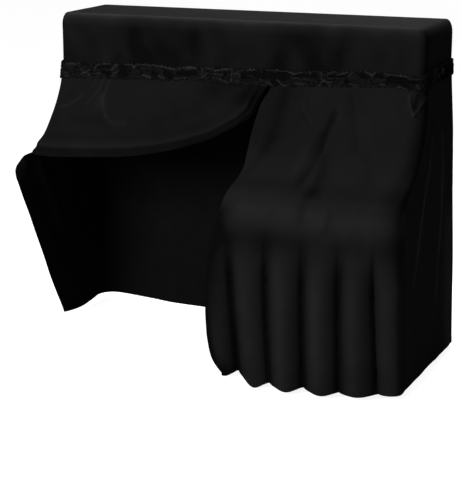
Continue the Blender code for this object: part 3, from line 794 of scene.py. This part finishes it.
# The right front curtain, with the forward step and the folds to the hem
curtainEdge = columns("height x", [
    (0.000, 0.112), (0.050, 0.066), (0.120, 0.048), (0.190, 0.046), (0.380, 0.056),
    (0.550, 0.074), (0.650, 0.106), (0.704, 0.122), (0.755, 0.139), (0.813, 0.124),
    (0.861, 0.116), (0.930, 0.117), (1.003, 0.133), (1.045, 0.158), (1.120, 0.162),
])
valleys = columns("x hemX out ridge dip top", [
    (-0.010, 0.060, -0.020, 0.030, 0.016, 0.60),
    (0.138, 0.165, -0.037, 0.036, 0.026, 0.60),
    (0.294, 0.327, 0.043, 0.034, 0.014, 0.62),
    (0.440, 0.460, 0.035, 0.034, 0.011, 0.62),
    (0.580, 0.598, 0.029, 0.032, 0.006, 0.61),
    (0.712, 0.736, -0.014, 0.020, 0.000, 0.60),
    (0.870, 0.870, 0.000, 0.000, 0.000, 0.60),
])
rightCurtain = {
    "flat": (0.86, 1.4), "area": 1.006, "held": "hung",
    "columns": 170, "rows": 240,
    "nearEdge": (0.002, 0.004),
    "driftBelow": 0.5,
    "driftPower": 1.6,
    "fullDepthAt": 0.38,
    "ridgeFullness": 1.9,
    "dipLean": 1.25,
    "grooveDepth": 0.004,
    "grooveWidth": 0.009,
    "grooveSpan": (0.02, 0.22),  # how far below the fold's top it begins and is full
    "unevenness": 0.0009,
    "waves": (21, 0.11, 2.2),
    "calmAtSeam": 0.07,
    # painted highlight on the creases' ridges and painted shade in their hollows
    "creasePaintedShading": 26,
    "creases": [
        (0.006, 0.016, (0.432, 0.975), (0.413, 0.9), (0.411, 0.87), (0.413, 0.845), (0.404, 0.8),
         (0.388, 0.76)),
        (0.0015, 0.022, (0.384, 0.785), (0.38, 0.74)),
        (0.004, 0.011, (0.428, 0.96), (0.413, 0.9), (0.411, 0.87), (0.413, 0.845)),
        (0.007, 0.027, (0.44, 0.81), (0.458, 0.755), (0.462, 0.725)),
        (-0.003, 0.015, (0.425, 0.86), (0.418, 0.81), (0.424, 0.75)),
        (-0.003, 0.018, (0.362, 0.85), (0.345, 0.78)),
        (0.004, 0.018, (0.4, 0.9), (0.388, 0.835)),
        (0.003, 0.005, (0.303, 0.965), (0.33, 0.935), (0.368, 0.903)),
        (-0.003, 0.008, (0.304, 1.01), (0.309, 0.975)),
        (0.005, 0.028, (0.225, 1.06), (0.207, 0.96), (0.205, 0.88), (0.195, 0.845)),
        (0.003, 0.022, (0.2, 0.87), (0.19, 0.835), (0.165, 0.773)),
        (0.003, 0.013, (0.484, 1.045), (0.5, 1.0), (0.517, 0.93), (0.546, 0.865)),
        (-0.003, 0.02, (0.45, 1.0), (0.456, 0.965)),
        (0.002, 0.02, (0.6, 0.83), (0.64, 0.77)),
        (-0.009, 0.007, (0.715, 1.055), (0.722, 1.02), (0.738, 0.99)),
        (-0.009, 0.007, (0.785, 1.055), (0.76, 1.02), (0.74, 0.985)),
        (0.008, 0.009, (0.748, 1.06), (0.742, 1.01)),
        (0.004, 0.02, (0.44, 0.72), (0.43, 0.63)),
        (0.003, 0.014, (0.54, 0.66), (0.535, 0.6)),
    ],
}


# The painted shade of the right curtain: how dark each place is, negative for painted highlight, and where it
# is
curtainPaintedShading = {
    # by height from the hem up: painted shade, negative for painted highlight, from one height to another,
    # and bands with a middle and a width
    "rises": [(0.05, 0.16, 0.04), (-0.05, 0.45, 0.30), (0.10, 0.66, 0.74), (0.05, 0.90, 1.10)],
    "bands": [
        (0.06, 0.49, 0.04), (0.16, 0.55, 0.04), (-0.05, 0.61, 0.025), (-0.09, 0.65, 0.030),
        (0.16, 0.731, 0.028),
    ],
    "leftLift": 0.006,  # how much higher the bands lie left of these places
    "leftSpan": (0.44, 0.36),
    # painted shade in the valleys and painted highlight on the ridge, across one fold by the share of the
    # way: dark, middle, width
    "leftValley": (0.52, 0.04, 0.18),
    "lastLeftValley": (0.28, 0.0, 0.13),
    "rightValley": (0.48, 1.0, 0.11),
    "lastRightValley": (0.10, 1.0, 0.11),
    "ridge": (-0.05, 0.44, 0.17),
    "rightFlank": (0.09, 0.82, 0.14),
    "secondFold": 0.08,
    # patches of painted shade and painted highlight that fade in along x and with height
    "slopeLeft": (0.13, (0.36, 0.18), (0.80, 0.90)),
    "freeEdge": (0.58, 0.045, (0.70, 0.62)),
    "corner": (0.24, (-0.04, 0.03), (0.66, 0.80)),
    "leftDip": (0.14, (0.50, 0.36), (0.535, 0.045)),
    "slopeRight": (-0.07, (0.62, 0.11), (0.76, 0.84)),
}


def shade(term, value):
    dark, middle, width = term
    return dark * bump(value - middle, width)


def foldPaintedShading(share, fold):
    terms, last = curtainPaintedShading, fold == len(valleys.x) - 2
    left = np.where(last, shade(terms["lastLeftValley"], share), shade(terms["leftValley"], share))
    right = np.where(last, shade(terms["lastRightValley"], share), shade(terms["rightValley"], share))
    crown = shade(terms["ridge"], share) + shade(terms["rightFlank"], share)
    return left + right + crown + terms["secondFold"] * (fold == 1)


def frontPaintedShading(height):
    risen = sum(dark * smooth(low, high, height) for dark, low, high in curtainPaintedShading["rises"])
    return risen + sum(shade(term, height) for term in curtainPaintedShading["bands"])


def patchToneAndPaintedShade(form, run, height, toEdge):
    terms = curtainPaintedShading
    dark, runSpan, heightSpan = terms["slopeLeft"]
    paintedShadeAndTone = dark * smooth(*runSpan, run) * smooth(*heightSpan, height)
    dark, width, heightSpan = terms["freeEdge"]
    paintedShadeAndTone += dark * bump(toEdge, width) * smooth(*heightSpan, height)
    dark, runSpan, (middle, width) = terms["leftDip"]
    paintedShadeAndTone += dark * bump(height - middle, width) * smooth(*runSpan, run)
    dark, (middle, width), heightSpan = terms["slopeRight"]
    paintedShadeAndTone += dark * bump(run - middle, width) * smooth(*heightSpan, height)
    dark, runSpan, heightSpan = terms["corner"]
    return paintedShadeAndTone + dark * smooth(*runSpan, run - form.cornerStart) * smooth(*heightSpan, height)


def foldAt(x, height):
    drift = (np.maximum(1 - height / rightCurtain["driftBelow"], 0) ** rightCurtain["driftPower"])[..., None]
    places = valleys.x + (valleys.hemX - valleys.x) * drift
    i = np.clip((places < x[..., None]).sum(-1) - 1, 0, len(valleys.x) - 2)
    low = np.take_along_axis(places, i[..., None], -1)[..., 0]
    high = np.take_along_axis(places, i[..., None] + 1, -1)[..., 0]
    share = np.clip((x - low) / (high - low), 0, 1)
    return i, share, np.minimum(x - low, high - x)


def folds(x, height):
    i, share, toValley = foldAt(x, height)
    top = valleys.top[i] + (valleys.top[i + 1] - valleys.top[i]) * share
    out = valleys.out[i] + (valleys.out[i + 1] - valleys.out[i]) * share
    hanging = out * np.maximum(top - height, 0) / top
    roundRidge = valleys.ridge[i] * (1 - np.abs(2 * share - 1) ** rightCurtain["ridgeFullness"])
    grown = smooth(top, rightCurtain["fullDepthAt"], height)
    start, end = rightCurtain["grooveSpan"]
    groove = bump(toValley, rightCurtain["grooveWidth"]) * smooth(top - start, top - end, height)
    out = hanging + roundRidge * grown - rightCurtain["grooveDepth"] * groove
    return out, foldPaintedShading(share, i) * grown


def profileHeights(row):  # from the hem to the band, evenly spaced along the front's profile
    heights = np.linspace(drape["hemHeight"], band["middle"], drape["profileSteps"])
    fronts = formAt(heights).front
    lengths = np.concatenate([[0], np.cumsum(np.hypot(np.diff(heights), np.diff(fronts)))])
    even = np.interp(row * lengths[-1], lengths, heights)
    return (even - heights[0]) / (heights[-1] - heights[0])


def hemOut(toHem):
    fold, stitch = drape["hemFold"], drape["hemStitch"]
    return drape["hemLift"] * smooth(fold + stitch, fold - stitch, toHem)


def curtainRun(form, station):  # 0 at the free edge, 1 where the corner starts, 2 at the seam past it
    start = through(curtainEdge.height, curtainEdge.x, form.height)
    past = np.clip(station - 1, 0, 1) * (form.seamRun - form.cornerStart)
    return start + (form.cornerStart - start) * np.minimum(station, 1) + past


def curtainRightPoint(station, row):
    level = formAt(np.full_like(row, band["middle"]))
    placeX, placeY, _, _ = outline(level, curtainRun(level, station))
    top = skirtTop(placeX, placeY)
    hemForm = formAt(np.full_like(row, drape["hemHeight"]))
    i, share, _ = foldAt(curtainRun(hemForm, station), hemForm.height)
    hem = drape["hemHeight"] - valleys.dip[i] * np.sin(pi * share ** rightCurtain["dipLean"]) ** 2
    height = hem + (top - hem) * profileHeights(row)
    form = formAt(height)
    run = curtainRun(form, station)
    x, y, outX, outY = outline(form, run)
    folded, foldShade = folds(run, height)
    creases = creased(rightCurtain["creases"], run, height)
    out = folded + creases + rightCurtain["unevenness"] * softWaves(run, height, *rightCurtain["waves"])
    out *= smooth(0, rightCurtain["calmAtSeam"], form.seamRun - run) * belowBand(x, y, height)
    out += hemOut(height - hem) - dipAt(form.seamRun - run)
    toEdge = run - through(curtainEdge.height, curtainEdge.x, height)
    # painted shade and highlight by height, across each fold, in patches and along the creases, and the
    # sides' painted light towards the corner
    paintedShadeAndTone = frontPaintedShading(height - curtainPaintedShading["leftLift"] * smooth(*curtainPaintedShading["leftSpan"], run))
    paintedShadeAndTone += patchToneAndPaintedShade(form, run, height, toEdge) + foldShade - creases * rightCurtain["creasePaintedShading"]
    paintedShadeAndTone += sideCloth["paintedShadeAndTone"] * smooth(form.cornerStart, form.seamRun, run)
    return x + outX * out, y + outY * out, height, paintedShadeAndTone


# The left front curtain, drawn up into a swag
swagEdge = columns("height x", [
    (0.756, -0.850), (0.756, -0.760), (0.755, -0.688), (0.760, -0.579), (0.766, -0.473),
    (0.774, -0.370), (0.788, -0.272), (0.804, -0.195), (0.819, -0.140), (0.837, -0.085),
    (0.853, -0.042), (0.878, 0.003), (0.912, 0.056), (0.947, 0.095), (1.004, 0.119),
    (1.057, 0.146),
])
swagCloth = {
    "flat": (0.98, 0.5), "area": 0.32, "held": "gathered",
    "columns": 190, "rows": 70,
    "calmAtSeam": 0.07,
    # painted shade of the swag as a whole
    "paintedShadeAndTone": 0.2,
    # painted shade at the hem, and a painted highlight line and a painted shade line above it, by the
    # distance to the edge
    "edgePaintedShade": 0.24,
    "edgeSpan": (0.034, 0.022),
    "hemLines": [(-0.07, 0.04, 0.012), (0.06, 0.062, 0.014)],
    # painted shadow at the right end below the band
    "endPaintedShadow": 0.28,
    "endRun": (-0.26, 0.08),
    "endHeight": (0.95, 1.02),
    "endLean": (0.05, 0.02),
    # painted highlight on the ridges and painted shade in the creases
    "ridgePaintedHighlight": 52,
    "creasePaintedShading": 20,
    # how far from the edge each roll or groove of the hem lies, how high it is and how wide
    "hem": [(0.036, 0.01, 0.013), (0.019, -0.004, 0.008), (0.008, 0.003, 0.006), (0.0, -0.008, 0.005)],
    "unevenness": 0.0008,
    "waves": (31, 0.12),
    "creases": [
        (-0.004, 0.0055, (-0.565, 1.045), (-0.587, 0.993), (-0.623, 0.94)),
        (-0.002, 0.006, (-0.598, 1.045), (-0.613, 1.005)),
        (-0.004, 0.007, (-0.536, 1.045), (-0.55, 1.007), (-0.557, 0.967), (-0.55, 0.937),
         (-0.527, 0.903)),
        (-0.003, 0.008, (-0.527, 0.903), (-0.5, 0.884), (-0.467, 0.88), (-0.43, 0.883)),
        (-0.0035, 0.006, (-0.65, 0.975), (-0.68, 0.95), (-0.707, 0.933), (-0.74, 0.921)),
        (-0.003, 0.018, (-0.567, 0.975), (-0.567, 0.945)),
        (0.002, 0.02, (-0.67, 0.89), (-0.56, 0.88)),
        (0.0025, 0.03, (-0.3, 0.9), (-0.13, 0.96)),
        (-0.003, 0.025, (-0.02, 1.01), (0.06, 1.05)),
    ],
}


def swagHem(x, height):
    edge = swagEdge
    near = np.min([
        toStretch(x, height, edge.x[i], edge.height[i], edge.x[i + 1], edge.height[i + 1])[0]
        for i in range(len(edge.x) - 1)
    ], axis=0)
    return sum(high * bump(near - at, width) for at, high, width in swagCloth["hem"]), near


def swagRun(form, station):  # -1 at the seam, 0 where the corner ends, 1 at the free end
    flat = -form.cornerStart + (swagEdge.x[-1] + form.cornerStart) * np.maximum(station, 0)
    return flat + np.minimum(station, 0) * (form.seamRun - form.cornerStart)


def curtainLeftPoint(station, row):
    level = formAt(np.full_like(row, band["middle"]))
    placeX, placeY, _, _ = outline(level, swagRun(level, station))
    top = skirtTop(placeX, placeY)
    low = through(swagEdge.x, swagEdge.height, placeX)
    height = low + (top - low) * row
    form = formAt(height)
    run = swagRun(form, station)
    x, y, outX, outY = outline(form, run)
    hem, near = swagHem(run, height)
    creases = creased(swagCloth["creases"], run, height)
    out = creases + hem + swagCloth["unevenness"] * softWaves(run, height, *swagCloth["waves"])
    out *= smooth(0, swagCloth["calmAtSeam"], form.seamRun + run) * belowBand(x, y, height)
    out -= dipAt(form.seamRun + run)
    # painted shade at the hem, in lines above it, in the creases and below the band, and painted highlight on
    # the ridges
    paintedShadeAndTone = swagCloth["paintedShadeAndTone"] + swagCloth["edgePaintedShade"] * smooth(*swagCloth["edgeSpan"], near)
    paintedShadeAndTone += sum(shade(term, near) for term in swagCloth["hemLines"])
    paintedShadeAndTone -= np.maximum(creases, 0) * swagCloth["ridgePaintedHighlight"] + np.minimum(creases, 0) * swagCloth["creasePaintedShading"]
    lean, middle = swagCloth["endLean"]
    leaning = smooth(*swagCloth["endHeight"], height + lean * (run - middle))
    paintedShadeAndTone += swagCloth["endPaintedShadow"] * smooth(*swagCloth["endRun"], run) * leaning
    return x + outX * out, y + outY * out, height, paintedShadeAndTone


# The sides
sideCloth = {
    "flat": (0.7, 1.12), "area": 0.581, "held": "hung",
    "columns": 110, "rows": 170,
    "nearSeams": (0.003, 0.006),
    "calmAtSeam": 0.06,
    "unevenness": 0.0009,
    "waves": (41, 0.13, 2.5),
    # painted light: the sides painted lighter, and a painted highlight on the crease ridges
    "paintedShadeAndTone": -0.08,
    "creasePaintedShading": 110,
    "creases": [
        (-0.002, 0.012, (-0.17, 0.88), (-0.19, 0.583), (-0.25, 0.25)),
        (-0.003, 0.011, (-0.175, 0.76), (-0.19, 0.583), (-0.22, 0.44)),
        (-0.002, 0.012, (-0.3, 0.88), (-0.4, 0.69), (-0.53, 0.38)),
        (-0.0035, 0.011, (-0.34, 0.8), (-0.4, 0.69), (-0.495, 0.47)),
        (-0.003, 0.05, (-0.09, 0.5), (-0.07, 0.0)),
    ],
}


def atSideSeams(form, y):
    reach = sideCloth["calmAtSeam"]
    return smooth(0, reach, y - form.frontSeam) * smooth(0, reach, form.backSeam - y)


def sideRightPoint(station, row):
    level = formAt(np.full_like(row, band["middle"]))
    front, back = level.frontSeam + drape["seamGap"], level.backSeam - drape["seamGap"]
    y = front + (back - front) * station
    top = skirtTop(level.halfWidth, y)
    height = drape["hemHeight"] + (top - drape["hemHeight"]) * profileHeights(row)
    form = formAt(height)
    front, back = form.frontSeam + drape["seamGap"], form.backSeam - drape["seamGap"]
    y = front + (back - front) * station
    creases = creased(sideCloth["creases"], y, height)
    out = creases + sideCloth["unevenness"] * softWaves(y, height, *sideCloth["waves"])
    out *= atSideSeams(form, y) * belowBand(form.halfWidth, y, height)
    toSeam = np.minimum(y - front, back - y)
    out += hemOut(height - drape["hemHeight"]) - dipAt(toSeam)
    # painted light on the side and painted highlight on its crease ridges
    return form.halfWidth + out, y, height, sideCloth["paintedShadeAndTone"] - creases * sideCloth["creasePaintedShading"]


drawnHem = columns("height y flare", [
    (0.000, -0.312, 0.006), (0.150, -0.402, 0.008), (0.300, -0.482, 0.009), (0.500, -0.585, 0.011),
    (0.631, -0.652, 0.014), (0.680, -0.675, 0.015), (0.702, -0.678, 0.014), (0.725, -0.662, 0.011),
    (0.745, -0.615, 0.006), (0.756, -0.560, 0.000),
])
drawnSide = {
    "flat": (0.62, 1.12), "area": 0.481, "held": "hung",
    "columns": 100, "rows": 170,
    "unevenness": 0.0009,
    "waves": (51, 0.13, 2.0),
    "flareReach": 0.16,
    "freeRows": 0.5,  # the share of the rows below the swag's corner
    "freeMiddle": 0.62,
    "creases": [
        (-0.012, 0.035, (-0.6, 0.74), (-0.33, 0.3)),
        (0.008, 0.025, (-0.52, 0.7), (-0.33, 0.4)),
        (-0.01, 0.045, (-0.45, 0.8), (-0.2, 0.2)),
        (-0.008, 0.045, (-0.25, 0.8), (-0.08, 0.15)),
    ],
}


def sideLeftPoint(station, row):
    level = formAt(np.full_like(row, band["middle"]))
    y = level.backSeam + (level.frontSeam - level.backSeam) * station
    top = skirtTop(-level.halfWidth, y)
    swagCorner = swagEdge.height[0]
    low, mid = drape["hemHeight"] - drape["sideHemDip"] * 4 * station * (1 - station), drawnSide["freeMiddle"]
    free = drawnSide["freeRows"]
    lower, middle, upper = 2 * row / free, 2 * row / free - 1, (row - free) / (1 - free)
    height = np.where(row < free / 2, low + (mid - low) * lower, mid + (swagCorner - mid) * middle)
    height = np.where(row > free, swagCorner + (top - swagCorner) * upper, height)
    form = formAt(height)
    above = height >= swagCorner
    edge = np.where(above, form.frontSeam + drape["seamGap"], through(drawnHem.height, drawnHem.y, height))
    flare = np.where(above, 0, through(drawnHem.height, drawnHem.flare, height))
    back = form.backSeam - drape["seamGap"]
    y = back + (edge - back) * station
    folded = creased(drawnSide["creases"], y, height)
    folded += drawnSide["unevenness"] * softWaves(y, height, *drawnSide["waves"])
    reach = sideCloth["calmAtSeam"]
    folded *= smooth(0, reach, back - y) * np.where(above, smooth(0, reach, y - edge), 1)
    out = flare * smooth(drawnSide["flareReach"], 0, y - edge)
    out += folded * belowBand(-form.halfWidth, y, height)
    out += hemOut(height - low)
    return -form.halfWidth - out, y, height, 0.0


backCloth = {
    "flat": (1.76, 1.12), "area": 1.847, "held": "hung",
    "columns": 200, "rows": 110,
    "unevenness": 0.001,
    "waves": (61, 0.2, 2.5),
    "folds": [
        (-0.01, 0.07, (-0.52, 0.7), (-0.56, 0.0)),
        (-0.008, 0.08, (-0.12, 0.6), (-0.1, 0.0)),
        (-0.01, 0.07, (0.33, 0.65), (0.35, 0.0)),
    ],
}


def backPoint(station, row):
    level = formAt(np.full_like(row, band["middle"]))
    placeX, placeY, _, _ = rearOutline(level, wallRun(fromRear(level), station))
    top = skirtTop(placeX, placeY)
    hemForm = fromRear(formAt(np.full_like(row, drape["hemHeight"])))
    fromCorner = hemForm.cornerStart - np.abs(wallRun(hemForm, station))
    hem = drape["hemHeight"] - drape["rearHemDip"] * smooth(0, drape["rearDipReach"], fromCorner)
    height = hem + (top - hem) * row
    form = formAt(height)
    rear = fromRear(form)
    run = wallRun(rear, station)
    x, y, outX, outY = rearOutline(form, run)
    out = creased(backCloth["folds"], x, height)
    out += backCloth["unevenness"] * softWaves(x, height, *backCloth["waves"])
    out *= smooth(0, sideCloth["calmAtSeam"], rear.cornerStart - np.abs(run)) * belowBand(x, y, height)
    out += hemOut(height - hem) - dipAt(rear.seamRun - np.abs(run))
    return x + outX * out, y + outY * out, height, 0.0


cornerGrid = {"columns": 14, "nearSeam": (0.03, 0.06, 0.10)}
hemRows = (0.003, 0.007, 0.012, 0.016, 0.0188, 0.0198, 0.0208)


def cornerStations():  # from a wall's end, round its corner to the seam
    past = np.linspace(1, 2, cornerGrid["columns"] + 1)[1:]
    return np.unique(np.concatenate([past, 2 - np.array(cornerGrid["nearSeam"])]))


def wallStations(count):
    past = cornerStations()
    return np.concatenate([-past[::-1], np.linspace(-1, 1, count + 1), past])


wallShare = fasciaCloth["wallShare"]
fasciaRows = np.concatenate([
    np.linspace(0, wallShare, fasciaCloth["wallRows"]),
    np.linspace(wallShare, 1, fasciaCloth["rollRows"])[1:],
])
fasciaFront = fasciaWall(outline, fasciaCloth["dents"], fasciaCloth["patches"], 71)
fasciaBack = fasciaWall(rearOutline, [], [], 72)
topSides, topLong = topCloth["nearSideSeams"], topCloth["nearLongSeams"]
stripSeams, sideSeams = fasciaCloth["nearSeams"], sideCloth["nearSeams"]
stripStations = spread(fasciaCloth["stripColumns"], stripSeams, stripSeams)
rightStations = np.concatenate([spread(rightCurtain["columns"], rightCurtain["nearEdge"]), cornerStations()])
leftStations = np.concatenate([1 - cornerStations()[::-1], spread(swagCloth["columns"])])
pieces = [
    ("top_panel", spread(topCloth["columns"], topSides, topSides), spread(topCloth["rows"], topLong, topLong),
     topPoint, topCloth),
    ("fascia_front", wallStations(fasciaCloth["front"]["columns"]), fasciaRows,
     fasciaFront, fasciaCloth["front"]),
    ("fascia_right", stripStations, fasciaRows, fasciaSide(1), fasciaCloth["right"]),
    ("fascia_back", wallStations(fasciaCloth["back"]["columns"]), fasciaRows,
     fasciaBack, fasciaCloth["back"]),
    ("fascia_left", stripStations, fasciaRows, fasciaSide(-1), fasciaCloth["left"]),
    ("curtain_right", rightStations, spread(rightCurtain["rows"], hemRows), curtainRightPoint, rightCurtain),
    ("curtain_left", leftStations, spread(swagCloth["rows"]), curtainLeftPoint, swagCloth),
    ("side_right", spread(sideCloth["columns"], sideSeams, sideSeams), spread(sideCloth["rows"], hemRows),
     sideRightPoint, sideCloth),
    ("side_left", spread(drawnSide["columns"]), spread(drawnSide["rows"]), sideLeftPoint, drawnSide),
    ("back_panel", wallStations(backCloth["columns"]), spread(backCloth["rows"], hemRows),
     backPoint, backCloth),
]
for name, across, up, point, cut in pieces:
    fitPiece(newSheet(name + "_velvet", across, up, point), name, cut)
bandRows = np.linspace(0, 1, bandCloth["rows"] + 1)
bandColumns = np.concatenate([
    np.linspace(0, bandCloth["frontShare"], bandCloth["frontColumns"] + 1),
    np.linspace(bandCloth["frontShare"], 1, bandCloth["otherColumns"] + 1)[1:],
])
ring = newSheet("trim_band_ruched", bandColumns, bandRows, bandPoint, ruched, closed=True)
fitPiece(ring, "trim_band", bandCloth)
print("cover made")

# The camera, floor and lights
studio = {
    "cameraPlace": (2.358, -5.4302, 0.6544),
    "cameraTurn": (pi / 2 - 0.2659, 0, 0.4241),
    "lens": 107.46,
    "floorSize": 60,
    "floorColour": 0.3,
    "floorGlow": 0.9,  # to the camera alone
    "worldStrength": 0.25,
    "sensor": 36,
    "floorRoughness": 0.9,
    "floorSpecular": 0.1,
    "floorDrop": 0.001,
}
softboxes = [  # name, place, aimed at, size, power
    ("keyLight", (-1.6, -4.6, 1.0), (0.1, -0.4, -0.7), 1.8, 420),
    ("topLight", (0.2, 1.0, 2.4), (0.0, 0.0, 0.0), 1.2, 290),
]
camera = addObject("camera", bpy.data.cameras.new("camera"))
camera.location = studio["cameraPlace"]
camera.rotation_euler = studio["cameraTurn"]
camera.data.lens = studio["lens"]
camera.data.sensor_width = studio["sensor"]
bpy.context.scene.camera = camera

floorMesh = bpy.data.meshes.new("floor")
half = studio["floorSize"] / 2
floorZ = cadBox[0].z - studio["floorDrop"]
floorCorners = [(x, y, floorZ) for x, y in ((-half, -half), (half, -half), (half, half), (-half, half))]
floorMesh.from_pydata(floorCorners, [], [(0, 1, 2, 3)])
floor = addObject("floor", floorMesh)
floorPaint = bpy.data.materials.new("paleFloor")
floorPaint.use_nodes = True
shader = floorPaint.node_tree.nodes["Principled BSDF"]
setInputs(shader, {
    "Base Color": (studio["floorColour"],) * 3 + (1,),
    "Roughness": studio["floorRoughness"],
    "Specular IOR Level": studio["floorSpecular"],
    "Emission Color": (1, 1, 1, 1),
})
seen = floorPaint.node_tree.nodes.new("ShaderNodeLightPath")
glowing = mathNode(floorPaint.node_tree, "MULTIPLY", seen.outputs["Is Camera Ray"], studio["floorGlow"])
floorPaint.node_tree.links.new(glowing, shader.inputs["Emission Strength"])
floorMesh.materials.append(floorPaint)

world = bpy.data.worlds.new("studio")
bpy.context.scene.world = world
world.use_nodes = True
sky = world.node_tree.nodes["Background"]
setInputs(sky, {"Color": (1, 1, 1, 1), "Strength": studio["worldStrength"]})
glow = world.node_tree.nodes.new("ShaderNodeBackground")  # a white ground for the camera alone
setInputs(glow, {"Strength": 1.0})
mix = world.node_tree.nodes.new("ShaderNodeMixShader")
path = world.node_tree.nodes.new("ShaderNodeLightPath")
link(world.node_tree, path, "Is Camera Ray", mix, "Fac")
link(world.node_tree, sky, 0, mix, 1)
link(world.node_tree, glow, 0, mix, 2)
link(world.node_tree, mix, 0, world.node_tree.nodes["World Output"], "Surface")
for name, place, target, size, power in softboxes:
    softbox = addObject(name, bpy.data.lights.new(name, "AREA"))
    softbox.data.energy = power
    softbox.data.size = size
    softbox.location = place
    softbox.rotation_euler = (Vector(target) - Vector(place)).to_track_quat("-Z", "Y").to_euler()
bpy.context.scene.view_settings.view_transform = "Standard"
print("studio made")
